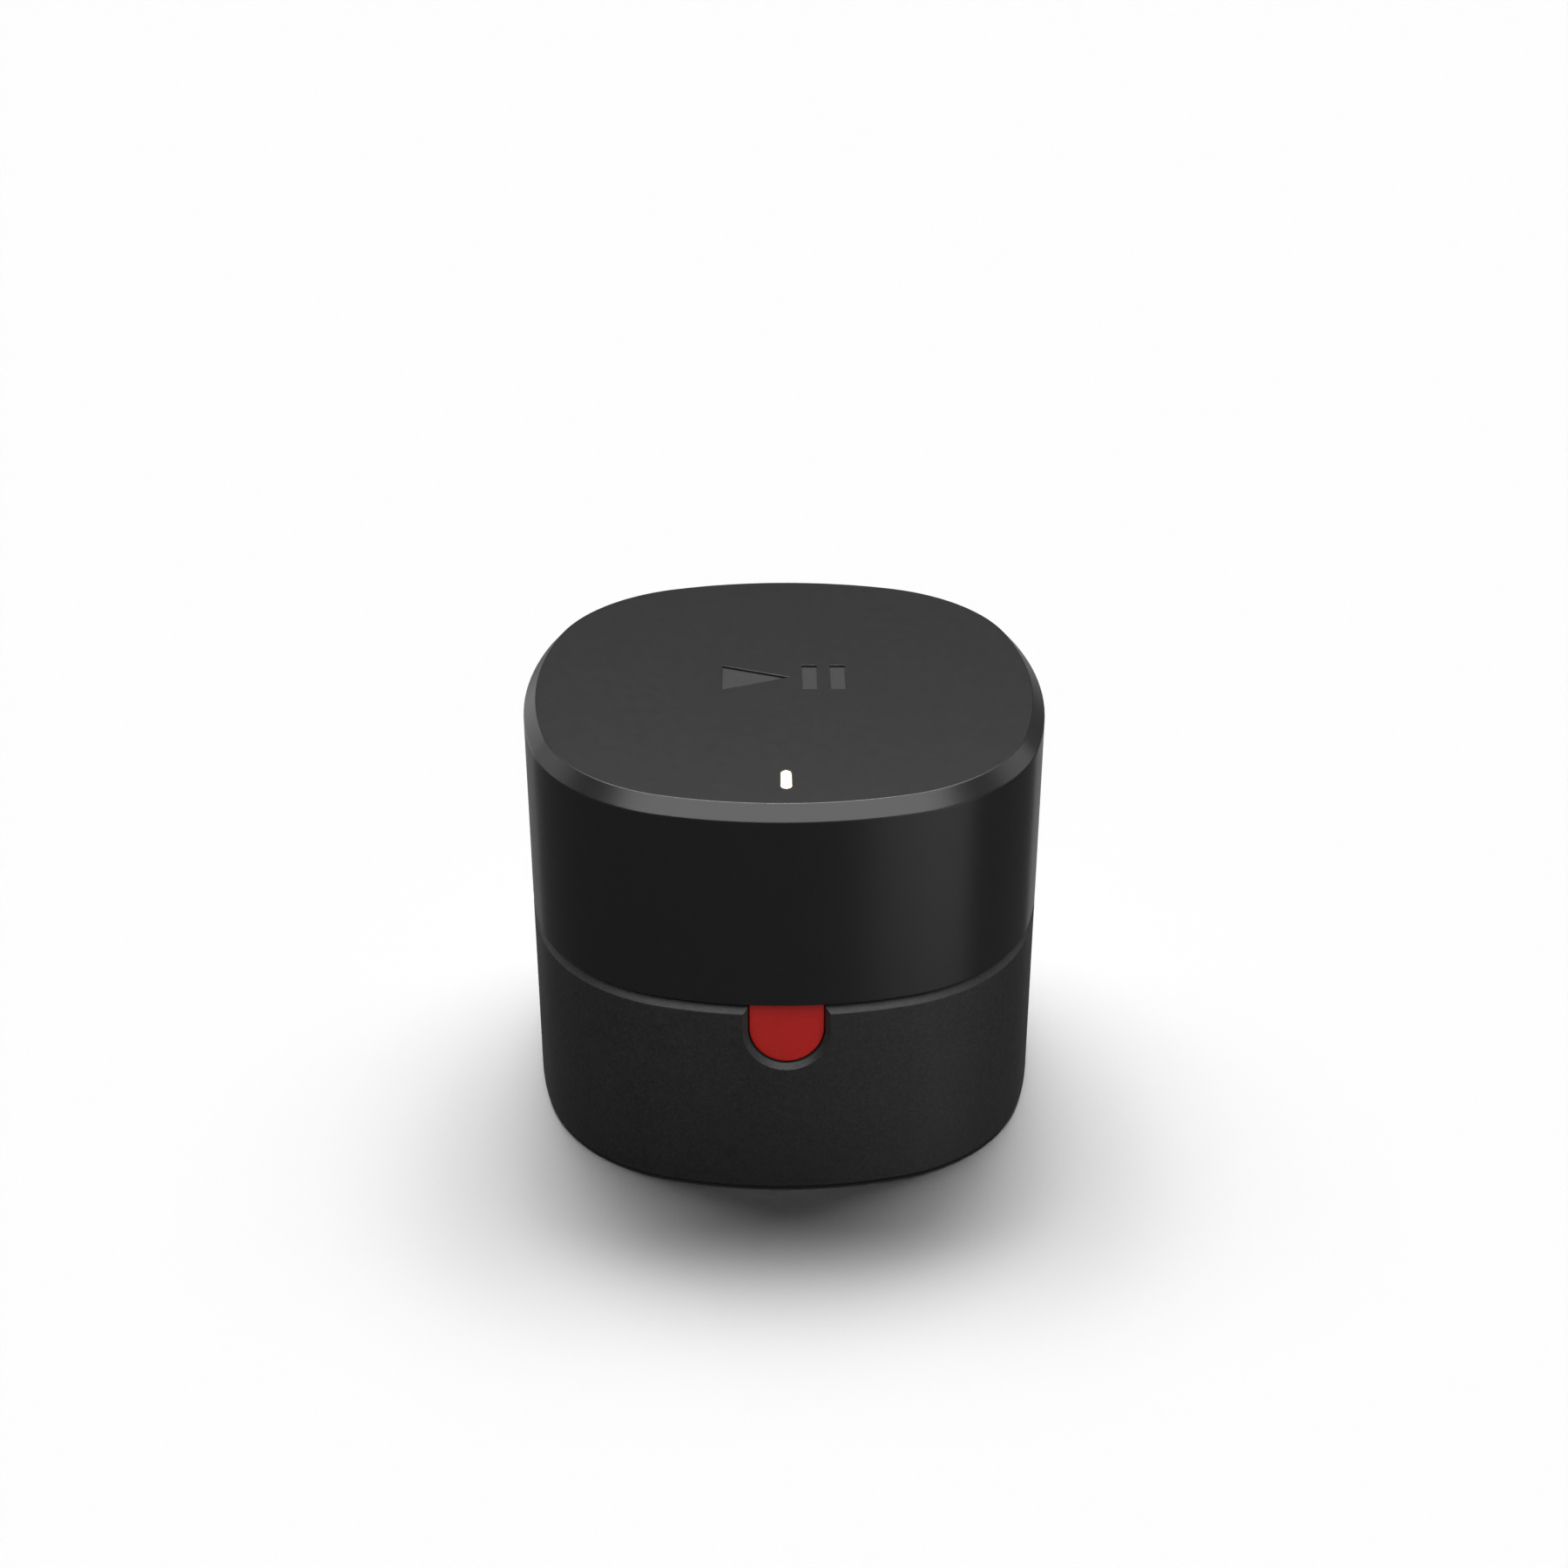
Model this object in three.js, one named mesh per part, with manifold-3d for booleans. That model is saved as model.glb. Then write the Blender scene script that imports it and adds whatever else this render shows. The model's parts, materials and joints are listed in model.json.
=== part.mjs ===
// A streaming media player: a squircle tower of two stacked housings that meet in a fine gap over a
// chamfered rim, a red pairing button in a notch at the front and a status light in the top.
// Millimetres, +Z up, front facing -Y, origin at the centre of the footprint on the table.
import * as THREE from 'three';
import { mergeVertices } from 'three/addons/utils/BufferGeometryUtils.js';
import Module from 'manifold-3d';

const wasm = await Module();
wasm.setup();

// ---------------------------------------------------------------- driving dimensions

// Footprint: four long side arcs joined by four tangent corner arcs.
const WIDTH = 88;
const SIDE_RADIUS = 73.5;
const CORNER_RADIUS = 30.7;
const HALF = WIDTH / 2;
const SIDE_CENTRE = SIDE_RADIUS - HALF;
const CENTRE_GAP = SIDE_RADIUS - CORNER_RADIUS;
const CORNER_CENTRE = (Math.sqrt(2 * CENTRE_GAP ** 2 - SIDE_CENTRE ** 2) - SIDE_CENTRE) / 2;
const SIDE_ANGLE = Math.atan2(CORNER_CENTRE, CORNER_CENTRE + SIDE_CENTRE);
const SIDE_STEPS = 8;
const CORNER_STEPS = 10;

// Heights of the stack.
const BASE_Z = 0.4;
const LEDGE_Z = 36.6;
const SPLIT_Z = 36.8;
const LIP_TOP_Z = 39.2;
const TOP_Z = 73;
const WALL = 2.4;
const RIM_CHAMFER = 1.65;
const TOP_CHAMFER_IN = 2.1;
const TOP_CHAMFER_DOWN = 2.35;
const BASE_CHAMFER = 0.3;
const CEILING_Z = TOP_Z - 2.5;
const SEAT_GAP = 0.05;

// Locating lip of the lower housing, which stands inside the upper one.
const LIP_OUTER = 2.6;
const LIP_INNER = 3.8;
const LIP_START_Z = 30;

// Corner posts that hold the two housings together.
const POST_AT = 29.4;
const POST_R = 3.8;
const SCREW_SEAT_Z = 29;

// Status light slot, and the play and pause sign sunk in the top.
const LIGHT_Y = -33.9;
const LIGHT_WIDTH = 1.8;
const LIGHT_LENGTH = 6.2;
const SIGN_DEPTH = 0.4;
const SIGN_Y = 2.4;
const SIGN_HEIGHT = 9.2;
const SIGN_WIDTH = 21;
const PAUSE_BAR = 2.6;
const PAUSE_GAP = 2.2;

// Front button and the notch that it sits in.
const BUTTON_HALF = 6.1;
const BUTTON_TOP_Z = LEDGE_Z - 0.4;
const BUTTON_ARC_Z = 31.45;
const BUTTON_GAP = 0.2;
const BUTTON_RECESS = 1.1;
const BUTTON_FACE_Y = -HALF + BUTTON_RECESS;
const NOTCH_CHAMFER = 0.85;
const BUTTON_FACE_RADIUS = 37;
const FLANGE_FRONT_Y = -41;
const FLANGE_BACK_Y = -39.8;
const FLANGE_HALF = 7.6;
const STEM_Z = 30.9;
const STEM_R = 1.9;
const STEM_END_Y = -36.5;

// Bracket, switch and small board behind the button.
const GUIDE_FRONT_Y = -38.4;
const GUIDE_BACK_Y = -37;
const GUIDE_LOW_Z = 24.8;
const GUIDE_HIGH_Z = 35.8;
const GUIDE_SCREW_X = 12;
const RAIL_IN_X = 7.6;
const RAIL_OUT_X = 9.2;
const RAIL_END_Y = -28.9;
const SWITCH_FRONT_Y = -34.8;
const SWITCH_BACK_Y = -31.75;
const SWITCH_HALF = 3;
const PLUNGER_R = 1.7;
const BUTTON_BOARD_FRONT_Y = -31.7;
const BUTTON_BOARD_BACK_Y = -30.5;

// Rear port bay: a flat panel set into the curved back wall.
const PANEL_Y = 39.2;
const PANEL_BACK_Y = 37;
const BAY_HALF = 24;
const BAY_LOW_Z = 7.6;
const BAY_HIGH_Z = 26.6;
const SOCKET_FACE_Y = 39;

// Rear sockets: their sides, how deep they reach and their top. The panel's openings clear them all round.
const SOCKETS = {
  power: { x0: -22.5, x1: -13.5, depth: 14, z1: 21.8 },
  hdmi: { x0: -11, x1: 4, depth: 11.5, z1: 16.9 },
  ethernet: { x0: 6.5, x1: 22.5, depth: 21.3, z1: 24.2 },
};
const SOCKET_CLEARANCE = 0.3;

// Base plate, main board and what stands on it.
const COVER_INSET = 2.7;
const COVER_LOW_Z = 1.4;
const COVER_TOP_Z = 3.4;
const FOOT_INSET = 2.6;
const FOOT_WIDTH = 11.4;
const BOARD_LOW_Z = 9;
const BOARD_TOP_Z = 10.6;
const ON_BOARD_Z = BOARD_TOP_Z + 0.05;
const BOARD_SCREWS = [[-31, -12], [31, -12], [31, 12], [-31, 12]];
const COVER_SCREW_AT = 35.5;
const COVER_SCREWS = [[0, -COVER_SCREW_AT], [COVER_SCREW_AT, 0], [0, COVER_SCREW_AT], [-COVER_SCREW_AT, 0]];
const VENT_COUNT = 7;
const VENT_PITCH = 5.5;
const VENT_WIDTH = 2.2;
const VENT_LENGTH = 30;
const CHIP_HALF = 7.5;
const CHIP_Y = -3;
const CHIP_TOP_Z = 12.1;
const SINK_X = 21;
const SINK_FRONT_Y = -21;
const SINK_BACK_Y = 15;
const SINK_BASE_Z = 13.15;
const SINK_PLATE_TOP_Z = 17.2;
const SINK_TOP_Z = 58;
const FIN_COUNT = 9;
const FIN_THICKNESS = 1.6;
const EAR_X = 24.5;
const EAR_Y = -3;
const EAR_TOP_Z = SINK_BASE_Z + 2;

// Light board under the top, antenna boards in rails on the side walls, ribbons down to the main board.
const LED_BOARD_LOW_Z = 66.4;
const LED_BOARD_TOP_Z = 67.6;
const LED_BOARD_SCREWS = [[-8, -32], [8, -32]];
const ANTENNA_X = 38.6;
const ANTENNA_THICKNESS = 0.8;
const ANTENNA_HALF = 13.5;
const ANTENNA_LOW_Z = 47;
const ANTENNA_TOP_Z = 63;
const CONNECTOR_TOP_Z = 12.8;
const RIBBON_END_Z = CONNECTOR_TOP_Z - 1;
const RIBBON_WIDTH = 6;
const RIBBON_THICKNESS = 0.3;
const LIGHT_RIBBON_Y = -24.6;
const BUTTON_RIBBON_Y = -29.9;

// Screws as head radius and height, shank radius and length below the seat.
const HOUSING_SCREW = { headR: 2.5, headHeight: 2, shankR: 1.3, length: 20.5 };
const COVER_SCREW = { headR: 2.7, headHeight: 0.8, shankR: 0.95, length: 4.5 };
const BOARD_SCREW = { headR: 2.4, headHeight: 1.5, shankR: 0.85, length: 6.2 };
const SINK_SCREW = { headR: 2.4, headHeight: 1.5, shankR: 0.95, length: 6.8 };
const GUIDE_SCREW = { headR: 1.7, headHeight: 1.2, shankR: 0.65, length: 4 };
const LED_BOARD_SCREW = { headR: 1.7, headHeight: 1.2, shankR: 0.65, length: 3.8 };

// ---------------------------------------------------------------- materials

const finish = (color, roughness, metalness = 0) =>
  new THREE.MeshStandardMaterial({ color, roughness, metalness });

const GLOSSY_BLACK = finish('#232325', 0.42);
const GRAINED_BLACK = finish('#1e1e20', 0.62);
const BUTTON_RED = finish('#96231d', 0.5);
const LIGHT_GUIDE = finish('#fffdf2', 0.3);
const RUBBER = finish('#17171a', 0.9);
const INNER_PLASTIC = finish('#3a3a3e', 0.7);
const BOARD_GREEN = finish('#1d4a34', 0.55);
const CHIP_BLACK = finish('#1a1a1c', 0.5);
const PAD_GREY = finish('#9aa0a6', 0.85);
const ALUMINIUM = finish('#b9bdc1', 0.4, 1);
const TINNED_STEEL = finish('#c3c6c9', 0.3, 1);
const SCREW_STEEL = finish('#8d9094', 0.35, 1);
const CONNECTOR_WHITE = finish('#dedbd0', 0.5);
const RIBBON_WHITE = finish('#e7e3d6', 0.45);
const CABLE_GREY = finish('#55585c', 0.6);

// ---------------------------------------------------------------- solids

const player = new THREE.Group();

// Turns a closed geometry into a manifold solid, and back into a plain geometry.
function solid(geometry) {
  const bare = geometry.index ? geometry.clone() : geometry;
  bare.deleteAttribute('normal');
  bare.deleteAttribute('uv');
  const merged = mergeVertices(bare, 1e-4);
  const vertProperties = new Float32Array(merged.attributes.position.array);
  const triVerts = new Uint32Array(merged.index.array);
  return new wasm.Manifold(new wasm.Mesh({ numProp: 3, vertProperties, triVerts }));
}

function geometryOf(body) {
  const { vertProperties, triVerts } = body.getMesh();
  const geometry = new THREE.BufferGeometry();
  geometry.setAttribute('position', new THREE.BufferAttribute(vertProperties, 3));
  geometry.setIndex(new THREE.BufferAttribute(triVerts, 1));
  return geometry;
}

function addPart(name, body, material, position = [0, 0, 0], rotation = [0, 0, 0]) {
  const mesh = new THREE.Mesh(geometryOf(body), material);
  mesh.name = name;
  mesh.position.set(...position);
  mesh.rotation.set(...rotation);
  player.add(mesh);
}

const join = (bodies) => bodies.reduce((sum, body) => sum.add(body));
const cut = (body, tools) => tools.reduce((rest, tool) => rest.subtract(tool), body);

function box([x0, y0, z0], [x1, y1, z1]) {
  const geometry = new THREE.BoxGeometry(x1 - x0, y1 - y0, z1 - z0);
  return solid(geometry.translate((x0 + x1) / 2, (y0 + y1) / 2, (z0 + z1) / 2));
}

// A round bar standing along Z, or lying along Y.
function barZ(radius, x, y, z0, z1, sides = 20) {
  const geometry = new THREE.CylinderGeometry(radius, radius, z1 - z0, sides).rotateX(Math.PI / 2);
  return solid(geometry.translate(x, y, (z0 + z1) / 2));
}

function barY(radius, x, z, y0, y1, sides = 20) {
  const geometry = new THREE.CylinderGeometry(radius, radius, y1 - y0, sides);
  return solid(geometry.translate(x, (y0 + y1) / 2, z));
}

// A flat shape in X and Y, raised from z0 to z1.
function prism(shape, z0, z1, curveSegments = 6) {
  const settings = { depth: z1 - z0, bevelEnabled: false, curveSegments };
  return solid(new THREE.ExtrudeGeometry(shape, settings).translate(0, 0, z0));
}

// The same for a profile in X and Z extruded along Y, and for one in Y and Z extruded along X.
const [AXIS_X, AXIS_Y, AXIS_Z] = [[1, 0, 0], [0, 1, 0], [0, 0, 1]].map((axis) => new THREE.Vector3(...axis));

function prismY(shape, y0, y1) {
  const geometry = new THREE.ExtrudeGeometry(shape, { depth: y1 - y0, bevelEnabled: false });
  geometry.applyMatrix4(new THREE.Matrix4().makeBasis(AXIS_X, AXIS_Z, AXIS_Y.clone().negate()));
  return solid(geometry.translate(0, y1, 0));
}

function prismX(shape, x0, x1) {
  const geometry = new THREE.ExtrudeGeometry(shape, { depth: x1 - x0, bevelEnabled: false });
  geometry.applyMatrix4(new THREE.Matrix4().makeBasis(AXIS_Y, AXIS_Z, AXIS_X));
  return solid(geometry.translate(x0, 0, 0));
}

// Closed skin through rings of equal point count, each turning anticlockwise about the way up.
function loft(rings, capOutline) {
  const count = capOutline.length;
  const positions = rings.flat().flatMap((point) => [point.x, point.y, point.z]);
  const index = [];
  for (let level = 0; level < rings.length - 1; level += 1) {
    for (let i = 0; i < count; i += 1) {
      const a = level * count + i;
      const b = level * count + (i + 1) % count;
      index.push(a, b, b + count, a, b + count, a + count);
    }
  }
  const last = (rings.length - 1) * count;
  for (const [a, b, c] of THREE.ShapeUtils.triangulateShape(capOutline, [])) {
    index.push(c, b, a, last + a, last + b, last + c);
  }
  const geometry = new THREE.BufferGeometry();
  geometry.setAttribute('position', new THREE.Float32BufferAttribute(positions, 3));
  geometry.setIndex(index);
  return solid(geometry);
}

// The footprint outline moved inwards by a distance: every arc keeps its centre.
function footprint(inset = 0) {
  const points = [];
  const arc = (centre, radius, from, to, steps) => {
    for (let i = 0; i < steps; i += 1) {
      const angle = from + (to - from) * i / steps;
      points.push(new THREE.Vector2(radius * Math.cos(angle), radius * Math.sin(angle)).add(centre));
    }
  };
  for (let side = 0; side < 4; side += 1) {
    const turn = side * Math.PI / 2;
    const origin = new THREE.Vector2();
    const sideCentre = new THREE.Vector2(-SIDE_CENTRE, 0).rotateAround(origin, turn);
    const cornerCentre = new THREE.Vector2(CORNER_CENTRE, CORNER_CENTRE).rotateAround(origin, turn);
    arc(sideCentre, SIDE_RADIUS - inset, turn - SIDE_ANGLE, turn + SIDE_ANGLE, SIDE_STEPS);
    const cornerEnd = turn + Math.PI / 2 - SIDE_ANGLE;
    arc(cornerCentre, CORNER_RADIUS - inset, turn + SIDE_ANGLE, cornerEnd, CORNER_STEPS);
  }
  return points;
}

// Stacks footprint outlines given as [inset, z] pairs, lowest first.
function tower(levels) {
  const rings = levels.map(([inset, z]) => footprint(inset).map((p) => new THREE.Vector3(p.x, p.y, z)));
  return loft(rings, footprint(levels[0][0]));
}

// Depth of the front wall surface at x, for a body of the given radius whose front is at frontY.
const frontSurface = (x, frontY, radius) => frontY + radius - Math.sqrt(radius ** 2 - x ** 2);

const ordered = (a, b) => (a < b ? [a, b] : [b, a]);

const fourCorners = (at) => [[-at, -at], [at, -at], [at, at], [-at, at]];

// ---------------------------------------------------------------- housings

function lightSlot(grow) {
  const radius = LIGHT_WIDTH / 2 + grow;
  const reach = (LIGHT_LENGTH - LIGHT_WIDTH) / 2;
  const shape = new THREE.Shape();
  shape.absarc(0, LIGHT_Y + reach, radius, 0, Math.PI);
  shape.absarc(0, LIGHT_Y - reach, radius, Math.PI, 2 * Math.PI);
  return shape;
}

function signShapes() {
  const low = SIGN_Y - SIGN_HEIGHT / 2;
  const high = SIGN_Y + SIGN_HEIGHT / 2;
  const right = SIGN_WIDTH / 2;
  const triangle = new THREE.Shape();
  triangle.moveTo(-right, low);
  triangle.lineTo(right - 2 * PAUSE_BAR - 2 * PAUSE_GAP, SIGN_Y);
  triangle.lineTo(-right, high);
  triangle.closePath();
  const bars = [0, PAUSE_BAR + PAUSE_GAP].map((step) => {
    const bar = new THREE.Shape();
    bar.moveTo(right - step - PAUSE_BAR, low);
    bar.lineTo(right - step, low);
    bar.lineTo(right - step, high);
    bar.lineTo(right - step - PAUSE_BAR, high);
    bar.closePath();
    return bar;
  });
  return [triangle, ...bars];
}

// Two upright rails with a slot each, which hold an antenna board by its edges.
function antennaRails(side) {
  return [-1, 1].map((end) => {
    const xs = ordered(side * (ANTENNA_X - 1.2), side * 41);
    const ys = ordered(end * (ANTENNA_HALF - 0.7), end * (ANTENNA_HALF + 1.5));
    const slotX = ordered(side * (ANTENNA_X - 0.1), side * (ANTENNA_X + ANTENNA_THICKNESS + 0.1));
    const slotY = ordered(end * (ANTENNA_HALF - 1.7), end * (ANTENNA_HALF + 0.1));
    const rail = box([xs[0], ys[0], ANTENNA_LOW_Z - 2], [xs[1], ys[1], ANTENNA_TOP_Z + 1]);
    const slot = box([slotX[0], slotY[0], ANTENNA_LOW_Z - 0.1], [slotX[1], slotY[1], ANTENNA_TOP_Z + 2]);
    return rail.subtract(slot);
  });
}

function upperHousing() {
  const outside = tower([[0, SPLIT_Z], [0, TOP_Z - TOP_CHAMFER_DOWN], [TOP_CHAMFER_IN, TOP_Z]]);
  const inside = tower([[WALL, SPLIT_Z - 1], [WALL, CEILING_Z - 2], [WALL + 2, CEILING_Z]]);
  const shell = outside.subtract(inside);
  const envelope = tower([[WALL / 2, LIP_TOP_Z + 0.4], [WALL / 2, TOP_Z - 4], [WALL + 1, TOP_Z - 1.5]]);
  const posts = fourCorners(POST_AT).map(([x, y]) => barZ(POST_R, x, y, LIP_TOP_Z + 0.4, TOP_Z - 1.5));
  const ledPosts = LED_BOARD_SCREWS.map(([x, y]) => barZ(2, x, y, LED_BOARD_TOP_Z + 0.05, TOP_Z - 1.5, 16));
  const rails = [-1, 1].flatMap(antennaRails);
  const ribs = join([...posts, ...ledPosts, ...rails]).intersect(envelope);
  const postBores = fourCorners(POST_AT).map(([x, y]) => barZ(1.4, x, y, LIP_TOP_Z, LIP_TOP_Z + 12, 12));
  const ledBores = LED_BOARD_SCREWS.map(([x, y]) => barZ(0.75, x, y, LED_BOARD_LOW_Z, CEILING_Z + 0.6, 10));
  const slot = prism(lightSlot(0), TOP_Z - 4, TOP_Z + 1);
  const sign = signShapes().map((shape) => prism(shape, TOP_Z - SIGN_DEPTH, TOP_Z + 1));
  return cut(shell.add(ribs), [...postBores, ...ledBores, slot, ...sign]);
}

// U outline of the button or its notch in X and Z, grown outwards by a distance.
function buttonOutline(grow, topZ) {
  const radius = BUTTON_HALF + grow;
  const steps = 16;
  const points = [new THREE.Vector2(radius, topZ), new THREE.Vector2(-radius, topZ)];
  for (let i = 0; i <= steps; i += 1) {
    const angle = Math.PI + Math.PI * i / steps;
    points.push(new THREE.Vector2(radius * Math.cos(angle), BUTTON_ARC_Z + radius * Math.sin(angle)));
  }
  return points;
}

// Notch cutter: straight through the wall, flaring at the outside into a chamfer. It stops
// just above the ledge, so the locating lip closes the gap behind the button.
function notchCutter() {
  const topZ = LEDGE_Z + 0.15;
  const ring = (grow, depth) => buttonOutline(grow + BUTTON_GAP, topZ)
    .map((p) => new THREE.Vector3(p.x, frontSurface(p.x, -HALF, SIDE_RADIUS) + depth, p.y));
  const rings = [ring(0, WALL + 3), ring(0, NOTCH_CHAMFER), ring(NOTCH_CHAMFER + 1, -1)];
  return loft(rings, buttonOutline(0, topZ));
}

function lowerHousing() {
  const outside = tower([
    [BASE_CHAMFER, BASE_Z], [0, BASE_Z + BASE_CHAMFER],
    [0, LEDGE_Z - RIM_CHAMFER], [RIM_CHAMFER, LEDGE_Z],
  ]);
  const lip = tower([[LIP_OUTER, LIP_START_Z], [LIP_OUTER, LIP_TOP_Z]]);
  const inside = tower([
    [WALL, BASE_Z - 1], [WALL, LIP_START_Z], [LIP_INNER, LIP_START_Z + LIP_INNER - WALL],
    [LIP_INNER, LIP_TOP_Z + 1],
  ]);
  const shell = outside.add(lip).subtract(inside);
  const envelope = tower([
    [WALL / 2, 3.6], [WALL / 2, LEDGE_Z - 0.5], [LIP_OUTER, LEDGE_Z], [LIP_OUTER, LIP_TOP_Z],
  ]);
  const posts = fourCorners(POST_AT).map(([x, y]) => barZ(POST_R, x, y, 4, LIP_TOP_Z));
  const coverPosts = COVER_SCREWS.map(([x, y]) => barZ(3.2, x, y, COVER_TOP_Z + 0.2, BOARD_LOW_Z - 0.5));
  const coverRibs = COVER_SCREWS.map(([x, y]) => {
    const out = 43 / COVER_SCREW_AT;
    const xs = ordered(x, x * out);
    const ys = ordered(y, y * out);
    const thick = 1.2;
    const across = x === 0 ? [thick, 0] : [0, thick];
    return box([xs[0] - across[0], ys[0] - across[1], COVER_TOP_Z + 0.2],
      [xs[1] + across[0], ys[1] + across[1], BOARD_LOW_Z - 0.5]);
  });
  const panel = box([-BAY_HALF - 2, PANEL_BACK_Y, 5], [BAY_HALF + 2, HALF, BAY_HIGH_Z + 2.2]);
  const guidePosts = [-1, 1].map((side) => (
    barY(2.2, side * GUIDE_SCREW_X, STEM_Z, -42, GUIDE_FRONT_Y - 0.1, 16)));
  const ribs = join([...posts, ...coverPosts, ...coverRibs, panel, ...guidePosts]).intersect(envelope);

  const postBores = fourCorners(POST_AT).flatMap(([x, y]) => [
    barZ(2.8, x, y, 3, SCREW_SEAT_Z, 16), barZ(1.7, x, y, SCREW_SEAT_Z - 1, LIP_TOP_Z + 1, 12)]);
  const coverBores = COVER_SCREWS.map(([x, y]) => barZ(1.05, x, y, 3, BOARD_LOW_Z - 1.5, 10));
  const guideBores = [-1, 1].map((side) => barY(0.75, side * GUIDE_SCREW_X, STEM_Z, -41.6, -38, 10));
  const bay = box([-BAY_HALF, PANEL_Y, BAY_LOW_Z], [BAY_HALF, HALF + 2, BAY_HIGH_Z]);
  const ports = Object.values(SOCKETS).map(({ x0, x1, z1 }) => box(
    [x0 - SOCKET_CLEARANCE, PANEL_BACK_Y - 2, BOARD_TOP_Z - SOCKET_CLEARANCE],
    [x1 + SOCKET_CLEARANCE, PANEL_Y + 1, z1 + SOCKET_CLEARANCE]));
  const pocket = box([-FLANGE_HALF - 0.7, FLANGE_FRONT_Y - 0.5, BUTTON_ARC_Z - FLANGE_HALF - 0.5],
    [FLANGE_HALF + 0.7, GUIDE_FRONT_Y + 2, LEDGE_Z + 0.2]);
  const tools = [...postBores, ...coverBores, ...guideBores, bay, ...ports, pocket, notchCutter()];
  return cut(shell.add(ribs), tools);
}

// ---------------------------------------------------------------- light, button and switch

function lightPipe() {
  const stem = prism(lightSlot(-0.1), LED_BOARD_TOP_Z + 1.5, TOP_Z - 0.05);
  const foot = box([-2.2, LIGHT_Y - 4.2, LED_BOARD_TOP_Z + 1.5], [2.2, LIGHT_Y + 4.2, CEILING_Z - 0.1]);
  return stem.add(foot);
}

function frontButton() {
  const ring = (inset, y, curved) => buttonOutline(-inset, BUTTON_TOP_Z - inset).map((p) => {
    const surface = curved ? frontSurface(p.x, y, BUTTON_FACE_RADIUS) : y;
    return new THREE.Vector3(p.x, surface, p.y);
  });
  const edge = 0.35;
  const rings = [
    ring(0, FLANGE_FRONT_Y + 0.2), ring(0, BUTTON_FACE_Y + edge, true), ring(edge, BUTTON_FACE_Y, true),
  ];
  const cap = loft(rings, buttonOutline(0, BUTTON_TOP_Z));
  const flange = box([-FLANGE_HALF, FLANGE_FRONT_Y, BUTTON_ARC_Z - FLANGE_HALF],
    [FLANGE_HALF, FLANGE_BACK_Y, BUTTON_TOP_Z]);
  const stem = barY(STEM_R, 0, STEM_Z, FLANGE_BACK_Y - 0.2, STEM_END_Y);
  return join([cap, flange, stem]);
}

function buttonGuide() {
  const plate = box([-14.2, GUIDE_FRONT_Y, GUIDE_LOW_Z], [14.2, GUIDE_BACK_Y, GUIDE_HIGH_Z]);
  const rails = [-1, 1].map((side) => {
    const xs = ordered(side * RAIL_IN_X, side * RAIL_OUT_X);
    return box([xs[0], GUIDE_BACK_Y - 0.2, GUIDE_LOW_Z], [xs[1], RAIL_END_Y, GUIDE_HIGH_Z]);
  });
  const boardSlot = box([-8.6, BUTTON_BOARD_FRONT_Y - 0.1, GUIDE_LOW_Z + 0.6],
    [8.6, BUTTON_BOARD_BACK_Y + 0.1, GUIDE_HIGH_Z + 1]);
  const stemHole = barY(STEM_R + 0.25, 0, STEM_Z, GUIDE_FRONT_Y - 1, GUIDE_BACK_Y + 1);
  const screwHoles = [-1, 1].map((side) => (
    barY(0.9, side * GUIDE_SCREW_X, STEM_Z, GUIDE_FRONT_Y - 1, GUIDE_BACK_Y + 1, 12)));
  return cut(join([plate, ...rails]), [boardSlot, stemHole, ...screwHoles]);
}

function switchBody() {
  const body = box([-SWITCH_HALF, SWITCH_FRONT_Y, STEM_Z - SWITCH_HALF],
    [SWITCH_HALF, SWITCH_BACK_Y, STEM_Z + SWITCH_HALF]);
  return body.subtract(barY(PLUNGER_R + 0.1, 0, STEM_Z, SWITCH_FRONT_Y - 1, SWITCH_BACK_Y - 0.4));
}

function antennaBoard(side) {
  const xs = ordered(side * ANTENNA_X, side * (ANTENNA_X + ANTENNA_THICKNESS));
  return box([xs[0], -ANTENNA_HALF, ANTENNA_LOW_Z], [xs[1], ANTENNA_HALF, ANTENNA_TOP_Z]);
}

function lightBoard() {
  const plate = box([-11, -38, LED_BOARD_LOW_Z], [11, -27, LED_BOARD_TOP_Z]);
  const holes = LED_BOARD_SCREWS.map(([x, y]) => (
    barZ(0.9, x, y, LED_BOARD_LOW_Z - 1, LED_BOARD_TOP_Z + 1, 12)));
  return cut(plate, holes);
}

function statusLed() {
  return box([-0.8, LIGHT_Y - 1.6, LED_BOARD_TOP_Z + SEAT_GAP], [0.8, LIGHT_Y + 1.6, LED_BOARD_TOP_Z + 0.9]);
}

const switchPlunger = () => barY(PLUNGER_R, 0, STEM_Z, STEM_END_Y + 0.15, SWITCH_FRONT_Y + 1.5);

function buttonBoard() {
  return box([-8.5, BUTTON_BOARD_FRONT_Y, GUIDE_LOW_Z + 0.7], [8.5, BUTTON_BOARD_BACK_Y, GUIDE_HIGH_Z]);
}

// ---------------------------------------------------------------- base

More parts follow.
